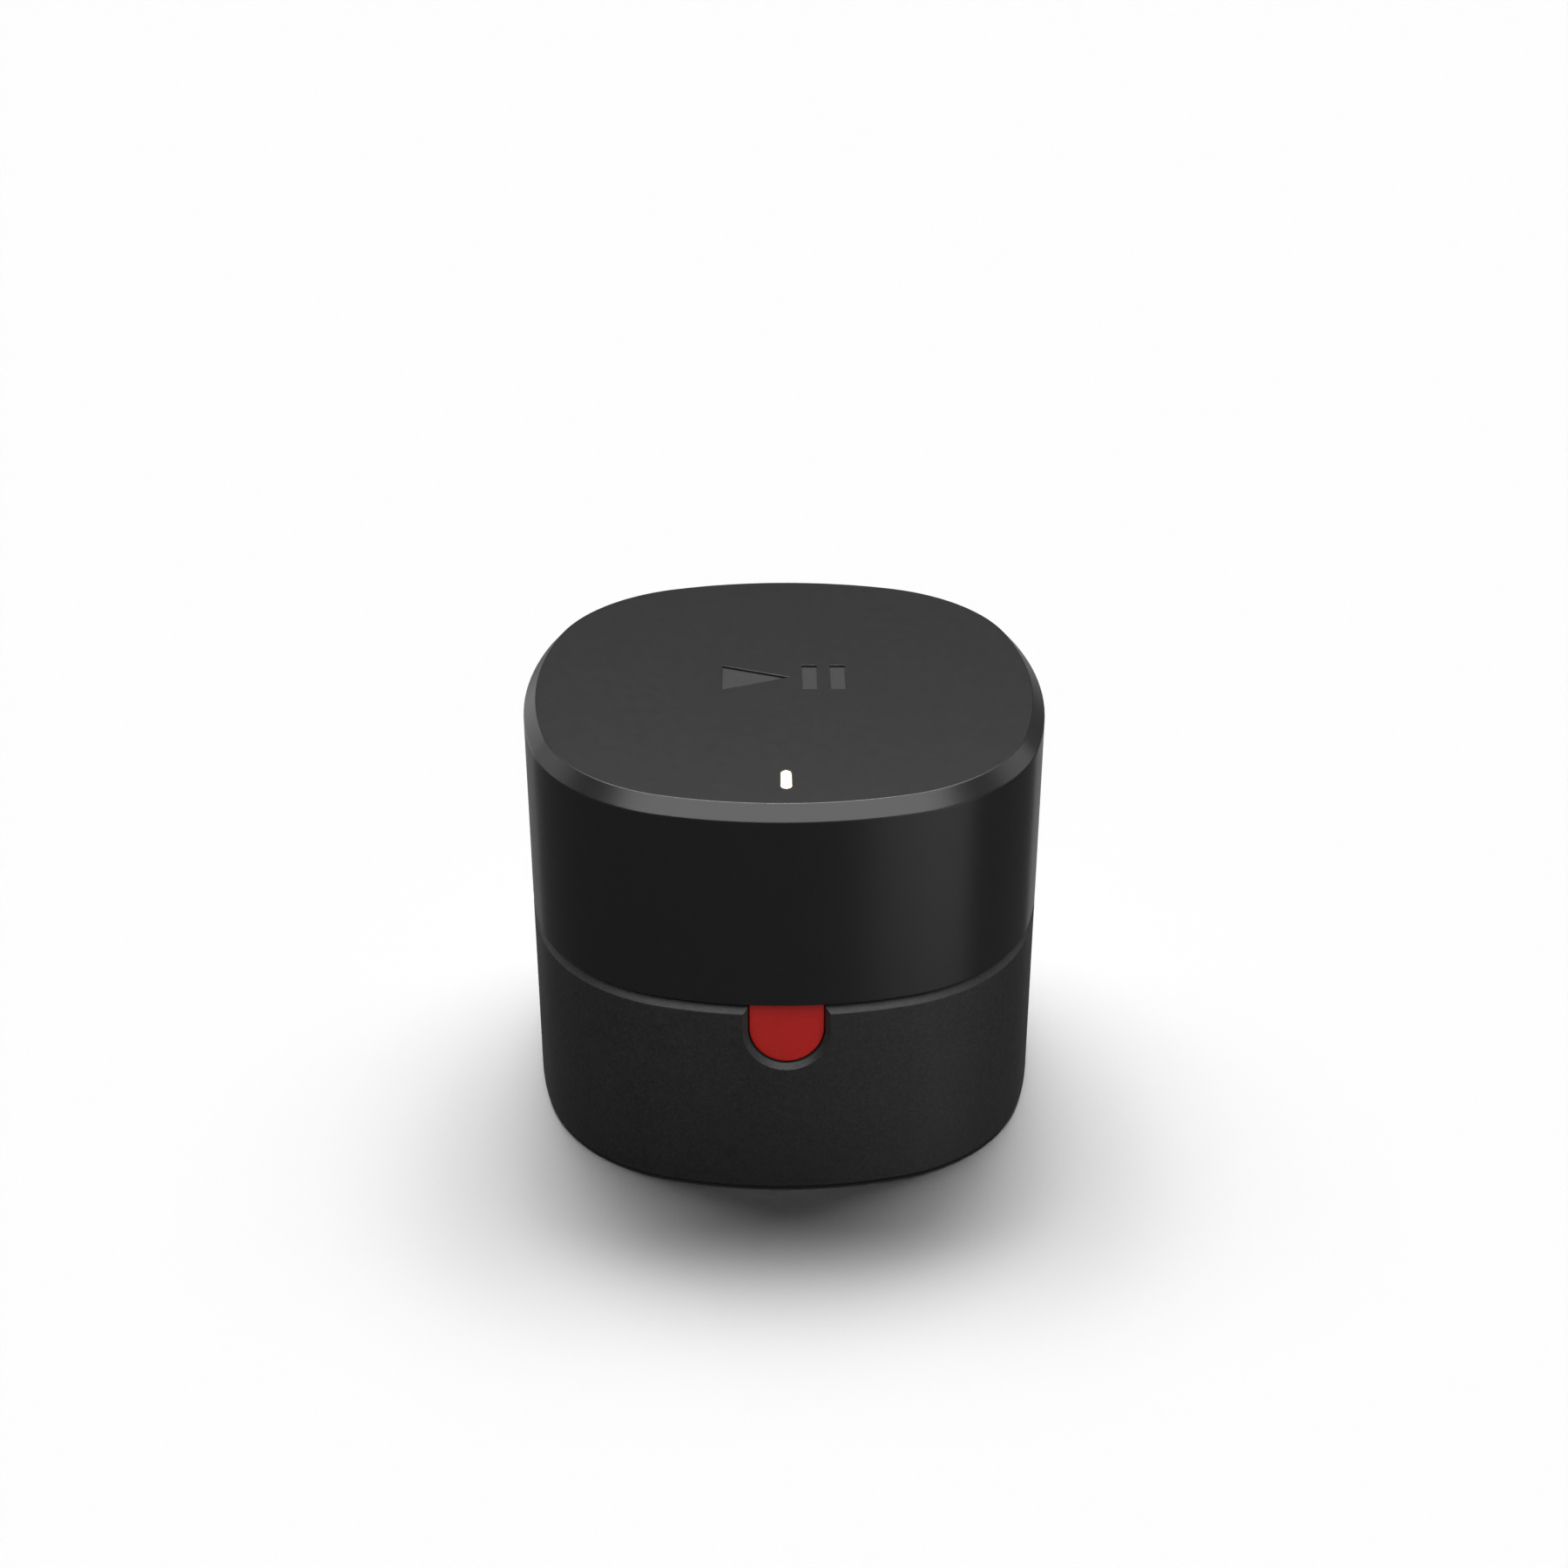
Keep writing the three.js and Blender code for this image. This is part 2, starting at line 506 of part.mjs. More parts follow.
function bottomCover() {
  const plate = tower([[COVER_INSET, COVER_LOW_Z], [COVER_INSET, COVER_TOP_Z]]);
  const standoffs = BOARD_SCREWS.map(([x, y]) => barZ(3, x, y, COVER_TOP_Z - 0.5, BOARD_LOW_Z - 0.05, 16));
  const standoffBores = BOARD_SCREWS.map(([x, y]) => barZ(0.95, x, y, COVER_TOP_Z, BOARD_LOW_Z + 1, 10));
  const screwHoles = COVER_SCREWS.flatMap(([x, y]) => [
    barZ(1.5, x, y, 0, COVER_TOP_Z + 1, 12), barZ(3, x, y, 0, COVER_LOW_Z + 0.9, 16)]);
  const vents = Array.from({ length: VENT_COUNT }, (_, i) => {
    const y = (i - (VENT_COUNT - 1) / 2) * VENT_PITCH;
    return box([-VENT_LENGTH / 2, y - VENT_WIDTH / 2, 0],
      [VENT_LENGTH / 2, y + VENT_WIDTH / 2, COVER_TOP_Z + 1]);
  });
  return cut(join([plate, ...standoffs]), [...standoffBores, ...screwHoles, ...vents]);
}

const rubberFoot = () => tower([[FOOT_INSET, 0], [FOOT_INSET, COVER_LOW_Z - 0.1]])
  .subtract(tower([[FOOT_INSET + FOOT_WIDTH, -1], [FOOT_INSET + FOOT_WIDTH, COVER_LOW_Z + 1]]));

// ---------------------------------------------------------------- main board and its parts

function mainBoard() {
  const plate = tower([[5, BOARD_LOW_Z], [5, BOARD_TOP_Z]]);
  const rear = box([-HALF, PANEL_BACK_Y - 0.4, 0], [HALF, HALF, 20]);
  const postHoles = fourCorners(POST_AT).map(([x, y]) => barZ(POST_R + 0.8, x, y, 0, 20));
  const screwHoles = BOARD_SCREWS.map(([x, y]) => barZ(1.4, x, y, 0, 20, 12));
  const sinkHoles = [[-EAR_X, EAR_Y], [EAR_X, EAR_Y]].map(([x, y]) => barZ(1.05, x, y, 0, 20, 12));
  return cut(plate, [rear, ...postHoles, ...screwHoles, ...sinkHoles]);
}

// A square block over the processor's place.
function overChip(z0, z1) {
  return box([-CHIP_HALF, CHIP_Y - CHIP_HALF, z0], [CHIP_HALF, CHIP_Y + CHIP_HALF, z1]);
}

const chip = () => overChip(ON_BOARD_Z, CHIP_TOP_Z);
const thermalPad = () => overChip(CHIP_TOP_Z + SEAT_GAP, SINK_BASE_Z - SEAT_GAP);
const memoryChip = (x) => box([x - 6, -30.5, ON_BOARD_Z], [x + 6, -22.5, 11.7]);

function heatSink() {
  const plate = box([-SINK_X, SINK_FRONT_Y, SINK_BASE_Z], [SINK_X, SINK_BACK_Y, SINK_PLATE_TOP_Z]);
  const ears = box([-EAR_X - 3, EAR_Y - 4, SINK_BASE_Z], [EAR_X + 3, EAR_Y + 4, EAR_TOP_Z]);
  const pitch = (2 * SINK_X - FIN_THICKNESS) / (FIN_COUNT - 1);
  const fins = Array.from({ length: FIN_COUNT }, (_, i) => {
    const x = -SINK_X + i * pitch;
    return box([x, SINK_FRONT_Y, SINK_PLATE_TOP_Z - 0.5], [x + FIN_THICKNESS, SINK_BACK_Y, SINK_TOP_Z]);
  });
  const holes = [-EAR_X, EAR_X].map((x) => barZ(1.6, x, EAR_Y, 10, 20, 12));
  return cut(join([plate, ears, ...fins]), holes);
}

// A pressed can with its open side on the board.
function shieldCan([x0, y0], [x1, y1], topZ) {
  const sheet = 0.4;
  const outside = box([x0, y0, ON_BOARD_Z], [x1, y1, topZ]);
  return outside.subtract(box([x0 + sheet, y0 + sheet, 0], [x1 - sheet, y1 - sheet, topZ - sheet]));
}

// Socket blank: stands on the board with its mouth in the rear panel.
function socketBlank({ x0, x1, depth, z1 }) {
  return box([x0, SOCKET_FACE_Y - depth, ON_BOARD_Z], [x1, SOCKET_FACE_Y, z1]);
}

function powerSocket() {
  const { x0, x1 } = SOCKETS.power;
  const centre = (x0 + x1) / 2;
  const centreZ = BOARD_TOP_Z + 5.8;
  const bore = barY(3.2, centre, centreZ, SOCKET_FACE_Y - 10, SOCKET_FACE_Y + 1);
  const pin = barY(0.85, centre, centreZ, SOCKET_FACE_Y - 11, SOCKET_FACE_Y - 1, 12);
  return socketBlank(SOCKETS.power).subtract(bore).add(pin);
}

function hdmiSocket() {
  const { x0, x1, z1 } = SOCKETS.hdmi;
  const sheet = 0.5;
  const corner = 1.5;
  const [left, right] = [x0 + sheet, x1 - sheet];
  const [lowZ, topZ] = [BOARD_TOP_Z + 0.9, z1 - sheet];
  const mouth = new THREE.Shape();
  mouth.moveTo(left + corner, lowZ);
  mouth.lineTo(right - corner, lowZ);
  mouth.lineTo(right, lowZ + corner);
  mouth.lineTo(right, topZ);
  mouth.lineTo(left, topZ);
  mouth.lineTo(left, lowZ + corner);
  mouth.closePath();
  const hollow = prismY(mouth, SOCKET_FACE_Y - 10, SOCKET_FACE_Y + 1);
  const tongue = box([left + 1.5, SOCKET_FACE_Y - 10.5, lowZ + 1.9],
    [right - 1.5, SOCKET_FACE_Y - 1, lowZ + 3.1]);
  return socketBlank(SOCKETS.hdmi).subtract(hollow).add(tongue);
}

function ethernetSocket() {
  const { x0, x1 } = SOCKETS.ethernet;
  const centre = (x0 + x1) / 2;
  const back = SOCKET_FACE_Y - 14;
  const mouth = box([centre - 5.9, back, 14.2], [centre + 5.9, SOCKET_FACE_Y + 1, 21.1]);
  const latch = box([centre - 3, back, 12], [centre + 3, SOCKET_FACE_Y + 1, 14.3]);
  return cut(socketBlank(SOCKETS.ethernet), [mouth, latch]);
}

// ---------------------------------------------------------------- cables

// A flat ribbon of the given width along [y, z] points, lying across X.
function ribbon(points, width, thickness) {
  const centre = points.map(([y, z]) => new THREE.Vector2(y, z));
  const edge = (side) => centre.map((point, i) => {
    const before = centre[Math.max(i - 1, 0)];
    const after = centre[Math.min(i + 1, centre.length - 1)];
    const along = after.clone().sub(before).normalize();
    return new THREE.Vector2(-along.y, along.x).multiplyScalar(side * thickness / 2).add(point);
  });
  const shape = new THREE.Shape([...edge(-1), ...edge(1).reverse()]);
  return prismX(shape, -width / 2, width / 2);
}

function antennaCable(side) {
  const route = [[38, 0, 50], [37.4, 0.5, 42], [36.4, 1.5, 28], [34.5, 2.6, 16], [32.5, 3, ON_BOARD_Z + 0.1]];
  const curve = new THREE.CatmullRomCurve3(route.map(([x, y, z]) => new THREE.Vector3(side * x, y, z)));
  const section = new THREE.Shape();
  section.absarc(0, 0, 0.6, 0, 2 * Math.PI);
  const settings = { steps: 24, extrudePath: curve, bevelEnabled: false, curveSegments: 8 };
  return solid(new THREE.ExtrudeGeometry(section, settings));
}

const lightRibbon = () => ribbon([
  [-31, LED_BOARD_LOW_Z - 0.25], [-27, LED_BOARD_LOW_Z - 0.4], [-25.2, LED_BOARD_LOW_Z - 1.6],
  [LIGHT_RIBBON_Y, LED_BOARD_LOW_Z - 3.6], [LIGHT_RIBBON_Y, RIBBON_END_Z],
], RIBBON_WIDTH, RIBBON_THICKNESS);

const buttonRibbon = () => ribbon([
  [BUTTON_BOARD_BACK_Y + 0.25, STEM_Z + 1], [BUTTON_BOARD_BACK_Y + 0.25, GUIDE_LOW_Z],
  [BUTTON_RIBBON_Y, GUIDE_LOW_Z - 4], [BUTTON_RIBBON_Y, RIBBON_END_Z],
], RIBBON_WIDTH, RIBBON_THICKNESS);

// A board connector with a slot in its top for a ribbon.
function ribbonConnector(y) {
  const block = box([-4.5, y - 1.8, ON_BOARD_Z], [4.5, y + 1.8, CONNECTOR_TOP_Z]);
  return block.subtract(box([-3.4, y - 0.4, CONNECTOR_TOP_Z - 1.2], [3.4, y + 0.4, CONNECTOR_TOP_Z + 1]));
}

// ---------------------------------------------------------------- screws

// A screw hanging below its seat at the origin, with a cross recess in its head.
function screw({ headR, headHeight, shankR, length }) {
  const head = barZ(headR, 0, 0, 0, headHeight, 16);
  const shank = barZ(shankR, 0, 0, -length, headHeight / 2, 12);
  const deep = headHeight * 0.5;
  const arm = headR * 0.6;
  const thin = headR * 0.13;
  const recess = join([
    box([-arm, -thin, headHeight - deep], [arm, thin, headHeight + 1]),
    box([-thin, -arm, headHeight - deep], [thin, arm, headHeight + 1]),
  ]);
  return head.add(shank).subtract(recess);
}

const HEAD_DOWN = [Math.PI, 0, 0];
const HEAD_BACK = [-Math.PI / 2, 0, 0];
function addScrews(name, size, seats, rotation = [0, 0, 0]) {
  seats.forEach((seat, i) => addPart(`${name}_${i + 1}`, screw(size), SCREW_STEEL, seat, rotation));
}

// ---------------------------------------------------------------- assembly

addPart('upper_housing', upperHousing(), GLOSSY_BLACK);
addPart('lower_housing', lowerHousing(), GRAINED_BLACK);
addPart('bottom_cover', bottomCover(), GRAINED_BLACK);
addPart('rubber_foot', rubberFoot(), RUBBER);

addPart('status_light_pipe', lightPipe(), LIGHT_GUIDE);
addPart('light_board', lightBoard(), BOARD_GREEN);
addPart('status_led', statusLed(), CONNECTOR_WHITE);

addPart('front_button', frontButton(), BUTTON_RED);
addPart('button_guide', buttonGuide(), INNER_PLASTIC);
addPart('button_board', buttonBoard(), BOARD_GREEN);
addPart('switch_body', switchBody(), CHIP_BLACK);
addPart('switch_plunger', switchPlunger(), CONNECTOR_WHITE);

addPart('main_board', mainBoard(), BOARD_GREEN);
addPart('processor', chip(), CHIP_BLACK);
addPart('thermal_pad', thermalPad(), PAD_GREY);
addPart('heat_sink', heatSink(), ALUMINIUM);
addPart('memory_chip_left', memoryChip(-13.5), CHIP_BLACK);
addPart('memory_chip_right', memoryChip(13.5), CHIP_BLACK);
addPart('radio_shield', shieldCan([-32, -24], [-22.5, -15], 13.4), TINNED_STEEL);
addPart('power_capacitor_front', barZ(3.1, 27, -19, ON_BOARD_Z, 19, 20), ALUMINIUM);
addPart('power_capacitor_rear', barZ(3.1, -27, 19, ON_BOARD_Z, 19, 20), ALUMINIUM);
addPart('power_inductor', box([24, 15.5, ON_BOARD_Z], [31, 22, 14.6]), CHIP_BLACK);
addPart('power_socket', powerSocket(), CHIP_BLACK);
addPart('hdmi_socket', hdmiSocket(), TINNED_STEEL);
addPart('ethernet_socket', ethernetSocket(), TINNED_STEEL);

addPart('light_connector', ribbonConnector(LIGHT_RIBBON_Y), CONNECTOR_WHITE);
addPart('button_connector', ribbonConnector(BUTTON_RIBBON_Y), CONNECTOR_WHITE);
addPart('light_ribbon', lightRibbon(), RIBBON_WHITE);
addPart('button_ribbon', buttonRibbon(), RIBBON_WHITE);

for (const [name, side] of [['left', -1], ['right', 1]]) {
  addPart(`antenna_${name}`, antennaBoard(side), BOARD_GREEN);
  addPart(`antenna_cable_${name}`, antennaCable(side), CABLE_GREY);
}

addScrews('housing_screw', HOUSING_SCREW,
  fourCorners(POST_AT).map(([x, y]) => [x, y, SCREW_SEAT_Z - SEAT_GAP]), HEAD_DOWN);
addScrews('cover_screw', COVER_SCREW,
  COVER_SCREWS.map(([x, y]) => [x, y, COVER_LOW_Z + 0.9 - SEAT_GAP]), HEAD_DOWN);
addScrews('board_screw', BOARD_SCREW,
  BOARD_SCREWS.map(([x, y]) => [x, y, BOARD_TOP_Z + SEAT_GAP]));
addScrews('heat_sink_screw', SINK_SCREW,
  [-EAR_X, EAR_X].map((x) => [x, EAR_Y, EAR_TOP_Z + SEAT_GAP]));
addScrews('guide_screw', GUIDE_SCREW,
  [-1, 1].map((side) => [side * GUIDE_SCREW_X, GUIDE_BACK_Y + SEAT_GAP, STEM_Z]), HEAD_BACK);
addScrews('light_board_screw', LED_BOARD_SCREW,
  LED_BOARD_SCREWS.map(([x, y]) => [x, y, LED_BOARD_LOW_Z - SEAT_GAP]), HEAD_DOWN);

export default player;
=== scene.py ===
"""Looks of a streaming media player: two stacked black housings, a red front button, a light in the top.

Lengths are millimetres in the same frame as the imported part, and MM turns them into metres.
"""

import json
import math

import bmesh
import bpy
from mathutils import Matrix, Vector

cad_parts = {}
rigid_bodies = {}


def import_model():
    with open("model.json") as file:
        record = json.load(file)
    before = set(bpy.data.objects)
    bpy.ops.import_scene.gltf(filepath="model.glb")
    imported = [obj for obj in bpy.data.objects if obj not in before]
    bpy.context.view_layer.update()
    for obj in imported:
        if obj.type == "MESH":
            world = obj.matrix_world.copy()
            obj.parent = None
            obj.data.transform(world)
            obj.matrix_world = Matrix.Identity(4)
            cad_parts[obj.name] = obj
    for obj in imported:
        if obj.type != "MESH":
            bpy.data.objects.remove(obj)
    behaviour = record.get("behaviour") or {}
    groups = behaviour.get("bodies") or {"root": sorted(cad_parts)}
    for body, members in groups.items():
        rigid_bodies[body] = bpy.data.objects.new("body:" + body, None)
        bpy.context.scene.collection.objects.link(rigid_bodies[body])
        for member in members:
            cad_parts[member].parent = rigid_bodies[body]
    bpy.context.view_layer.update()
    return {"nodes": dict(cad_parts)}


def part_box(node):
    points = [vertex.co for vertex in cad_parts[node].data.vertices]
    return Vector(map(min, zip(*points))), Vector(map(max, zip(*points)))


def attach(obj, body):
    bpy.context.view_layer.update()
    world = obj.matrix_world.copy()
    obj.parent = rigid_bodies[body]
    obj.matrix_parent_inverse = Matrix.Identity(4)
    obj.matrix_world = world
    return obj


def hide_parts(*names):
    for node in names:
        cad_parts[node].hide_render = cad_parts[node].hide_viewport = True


MM = 0.001

# Footprint of the housings: four side arcs joined by four tangent corner arcs. HALF, TOP_Z and FOOT_LOW_Z
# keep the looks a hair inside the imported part's box.
HALF = 43.995
SIDE_RADIUS = 73.5
CORNER_RADIUS = 30.7
SIDE_CENTRE = SIDE_RADIUS - HALF
CENTRE_GAP = SIDE_RADIUS - CORNER_RADIUS
CORNER_CENTRE = (math.sqrt(2 * CENTRE_GAP**2 - SIDE_CENTRE**2) - SIDE_CENTRE) / 2
SIDE_ANGLE = math.atan2(CORNER_CENTRE, CORNER_CENTRE + SIDE_CENTRE)
SIDE_STEPS = 16
CORNER_STEPS = 24

# Heights and wall of the stack.
BASE_Z = 0.4
LEDGE_Z = 36.6
SPLIT_Z = 36.8
LIP_TOP_Z = 39.2
TOP_Z = 72.998
WALL = 2.4
CEILING_Z = 70.5
RIM_CHAMFER = 1.65
BASE_CHAMFER = 0.3
TOP_CHAMFER_IN = 2.1
TOP_CHAMFER_DOWN = 2.35
LIP_OUTER = 2.6
LIP_INNER = 3.8
LIP_START_Z = 30

# Light slot and the play and pause sign in the top.
LIGHT_Y = -33.9
LIGHT_WIDTH = 1.8
LIGHT_LENGTH = 6.2
LIGHT_TOP_Z = 72.9
LIGHT_FOOT_Z = 69.1
SIGN_DEPTH = 0.4
SIGN_Y = 2.4
SIGN_HEIGHT = 9.2
SIGN_WIDTH = 21
PAUSE_BAR = 2.6
PAUSE_GAP = 2.2

# Front button and its notch.
BUTTON_HALF = 6.1
BUTTON_TOP_Z = LEDGE_Z - 0.4
BUTTON_ARC_Z = 31.45
BUTTON_GAP = 0.2
BUTTON_FACE_Y = -42.9
NOTCH_CHAMFER = 0.85
BUTTON_FACE_RADIUS = 37
BUTTON_EDGE = 0.18
NOTCH_TOP_Z = LEDGE_Z + 0.15
POCKET_CLEARANCE = 0.7
FLANGE_FRONT_Y = -41
FLANGE_BACK_Y = -39.8
FLANGE_HALF = 7.6
STEM_Z = 30.9
STEM_RADIUS = 1.9
STEM_END_Y = -36.5

# Port bay at the back.
PANEL_Y = 39.2
PANEL_BACK_Y = 37
BAY_HALF = 24
BAY_LOW_Z = 7.6
BAY_HIGH_Z = 26.6
SOCKET_CLEARANCE = 0.3

# Rubber foot.
FOOT_INSET = 2.6
FOOT_WIDTH = 11.4
FOOT_LOW_Z = 0.01
FOOT_TOP_Z = 1.3

# Camera, fitted to the view from the front and above.
CAMERA_BACK = 0.3749
CAMERA_HEIGHT = 0.2583
CAMERA_PITCH = 28.64
CAMERA_YAW = 0.6
CAMERA_LENS = 56.6

# Key lamps as azimuth on both sides, elevation, share of the floor's light and angular width in degrees.
KEY_LAMPS = [(140, 65, 0.29, 22), (162, 65, 0.25, 22), (180, 68, 0.11, 14), (180, 74, 0.11, 14),
             (126, 53, 0.11, 20), (158, 54, 0.11, 16)]
FLOOR_WHITE = 0.8
FLOOR_LIGHT = 0.985 * math.pi / FLOOR_WHITE

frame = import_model()


# ---------------------------------------------------------------- outlines and profiles


def arc(centre, radius, start, end, steps):
    """Points along an arc, without its last one."""
    angles = [start + (end - start) * i / steps for i in range(steps)]
    return [(centre[0] + radius * math.cos(a), centre[1] + radius * math.sin(a)) for a in angles]


def turned(point, angle):
    c, s = math.cos(angle), math.sin(angle)
    return (point[0] * c - point[1] * s, point[0] * s + point[1] * c)


def footprint(inset=0.0):
    """The housing outline moved inwards: every arc keeps its centre."""
    points = []
    for side in range(4):
        turn = side * math.pi / 2
        side_centre = turned((-SIDE_CENTRE, 0), turn)
        corner_centre = turned((CORNER_CENTRE, CORNER_CENTRE), turn)
        corner_end = turn + math.pi / 2 - SIDE_ANGLE
        points += arc(side_centre, SIDE_RADIUS - inset, turn - SIDE_ANGLE, turn + SIDE_ANGLE, SIDE_STEPS)
        points += arc(corner_centre, CORNER_RADIUS - inset, turn + SIDE_ANGLE, corner_end, CORNER_STEPS)
    return points


def wall_y(x, inset=0.0):
    """How far the wall stands from the middle at x, the same at the front and the back."""
    side = SIDE_RADIUS - inset
    corner = CORNER_RADIUS - inset
    if abs(x) <= side * math.sin(SIDE_ANGLE):
        return math.sqrt(side**2 - x**2) - SIDE_CENTRE
    return math.sqrt(corner**2 - (abs(x) - CORNER_CENTRE) ** 2) + CORNER_CENTRE


def rounded(corners, closed=False, steps=5):
    """A 2D line through (u, v, radius) corners, each rounded, with a support point either side."""
    support = 0.25
    count = len(corners)
    points = []
    for i, (u, v, radius) in enumerate(corners):
        here = Vector((u, v))
        if radius == 0 or (not closed and i in (0, count - 1)):
            points.append(here)
            continue
        before = Vector(corners[i - 1][:2]) - here
        after = Vector(corners[(i + 1) % count][:2]) - here
        half_angle = before.angle(after) / 2
        reach = radius / math.tan(half_angle)
        start = here + before.normalized() * reach
        end = here + after.normalized() * reach
        inward = (before.normalized() + after.normalized()).normalized()
        centre = here + inward * radius / math.sin(half_angle)
        if before.length > reach + 3 * support:
            points.append(start + before.normalized() * support)
        sweep = (start - centre).angle_signed(end - centre)
        for step in range(steps + 1):
            offset = start - centre
            points.append(centre + Matrix.Rotation(-sweep * step / steps, 2) @ offset)
        if after.length > reach + 3 * support:
            points.append(end + after.normalized() * support)
    return points


# ---------------------------------------------------------------- mesh building


def new_object(name, vertices, faces):
    mesh = bpy.data.meshes.new(name)
    mesh.from_pydata([tuple(v) for v in vertices], [], faces)
    mesh.validate()
    tidy = bmesh.new()
    tidy.from_mesh(mesh)
    bmesh.ops.recalc_face_normals(tidy, faces=tidy.faces)
    tidy.to_mesh(mesh)
    tidy.free()
    piece = bpy.data.objects.new(name, mesh)
    bpy.context.scene.collection.objects.link(piece)
    return piece


def loft(name, rings, closed=False):
    """Skin through rings of equal point count: capped at both ends, or joined end to start."""
    count = len(rings[0])
    levels = len(rings) if closed else len(rings) - 1
    faces = []
    for level in range(levels):
        low, high = level * count, (level + 1) % len(rings) * count
        faces += [(low + i, low + (i + 1) % count, high + (i + 1) % count, high + i) for i in range(count)]
    if not closed:
        last = (len(rings) - 1) * count
        faces += [tuple(range(count)), tuple(range(last, last + count))]
    return new_object(name, [point for ring in rings for point in ring], faces)


def housing_rings(profile):
    """Footprint rings for a profile of (inset, z) points."""
    return [[(x, y, z) for x, y in footprint(inset)] for inset, z in profile]


def prism(name, outline, low, high):
    return loft(name, [[(x, y, z) for x, y in outline] for z in (low, high)])


def box(name, low, high):
    outline = [(low[0], low[1]), (high[0], low[1]), (high[0], high[1]), (low[0], high[1])]
    return prism(name, outline, low[2], high[2])


def bar_y(name, radius, x, z, y0, y1, sides=40):
    ring = arc((x, z), radius, 0, 2 * math.pi, sides)
    return loft(name, [[(u, y, v) for u, v in ring] for y in (y0, y1)])


def bake(piece):
    """Turns a piece's modifiers into its mesh."""
    graph = bpy.context.evaluated_depsgraph_get()
    mesh = bpy.data.meshes.new_from_object(piece.evaluated_get(graph))
    piece.modifiers.clear()
    piece.data = mesh


def combine(piece, tools, operation):
    """Exact boolean of a piece with each tool, which is used up."""
    for tool in tools:
        modifier = piece.modifiers.new("combine", "BOOLEAN")
        modifier.solver = "EXACT"
        modifier.operation = operation
        modifier.object = tool
        bake(piece)
        bpy.data.objects.remove(tool)
    return piece


def soften(piece, width, angle=35, segments=2):
    """Small bevel on every sharp edge, in the piece's own units."""
    bevel = piece.modifiers.new("soften", "BEVEL")
    bevel.width = width
    bevel.segments = segments
    bevel.limit_method = "ANGLE"
    bevel.angle_limit = math.radians(angle)


def finish_piece(piece, body, materials, nodes):
    """Brings a finished millimetre mesh into the frame, gives it its materials, attaches it to its body and
    hides the nodes it stands for.
    """
    bake(piece)
    piece.data.transform(Matrix.Scale(MM, 4))
    piece.data.shade_smooth()
    piece.data.set_sharp_from_angle(angle=math.radians(32))
    weighted = piece.modifiers.new("weighted", "WEIGHTED_NORMAL")
    weighted.keep_sharp = True
    weighted.weight = 80
    bake(piece)
    piece.data.materials.clear()
    for material in materials:
        piece.data.materials.append(material)
    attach(piece, body)
    if nodes:
        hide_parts(*nodes)
    return piece


def wall_normal(point):
    """The outer wall's true normal at a point in millimetres, or None away from the wall."""
    for side in range(4):
        turn = side * math.pi / 2
        x, y = turned(point, -turn)
        side_angle = math.atan2(y, x + SIDE_CENTRE)
        corner_angle = math.atan2(y - CORNER_CENTRE, x - CORNER_CENTRE)
        on_side = abs(math.hypot(x + SIDE_CENTRE, y) - SIDE_RADIUS) < 0.03
        on_corner = abs(math.hypot(x - CORNER_CENTRE, y - CORNER_CENTRE) - CORNER_RADIUS) < 0.03
        if abs(side_angle) <= SIDE_ANGLE and on_side:
            return Vector((*turned((1, 0), turn + side_angle), 0))
        if SIDE_ANGLE <= corner_angle <= math.pi / 2 - SIDE_ANGLE and on_corner:
            return Vector((*turned((1, 0), turn + corner_angle), 0))
    return None


def exact_normals(piece):
    """Gives the flat top and the curved outer wall their true normals, whatever was cut through them."""
    mesh = piece.data
    normals = [corner.vector.copy() for corner in mesh.corner_normals]
    for face in mesh.polygons:
        if face.normal.z > 0.9999:
            for loop in face.loop_indices:
                normals[loop] = Vector((0, 0, 1))
        elif abs(face.normal.z) < 0.002:
            places = [mesh.vertices[mesh.loops[loop].vertex_index].co / MM for loop in face.loop_indices]
            true = [wall_normal((place.x, place.y)) for place in places]
            if all(true):
                for loop, normal in zip(face.loop_indices, true):
                    normals[loop] = normal
    mesh.normals_split_custom_set(normals)


# ---------------------------------------------------------------- node trees


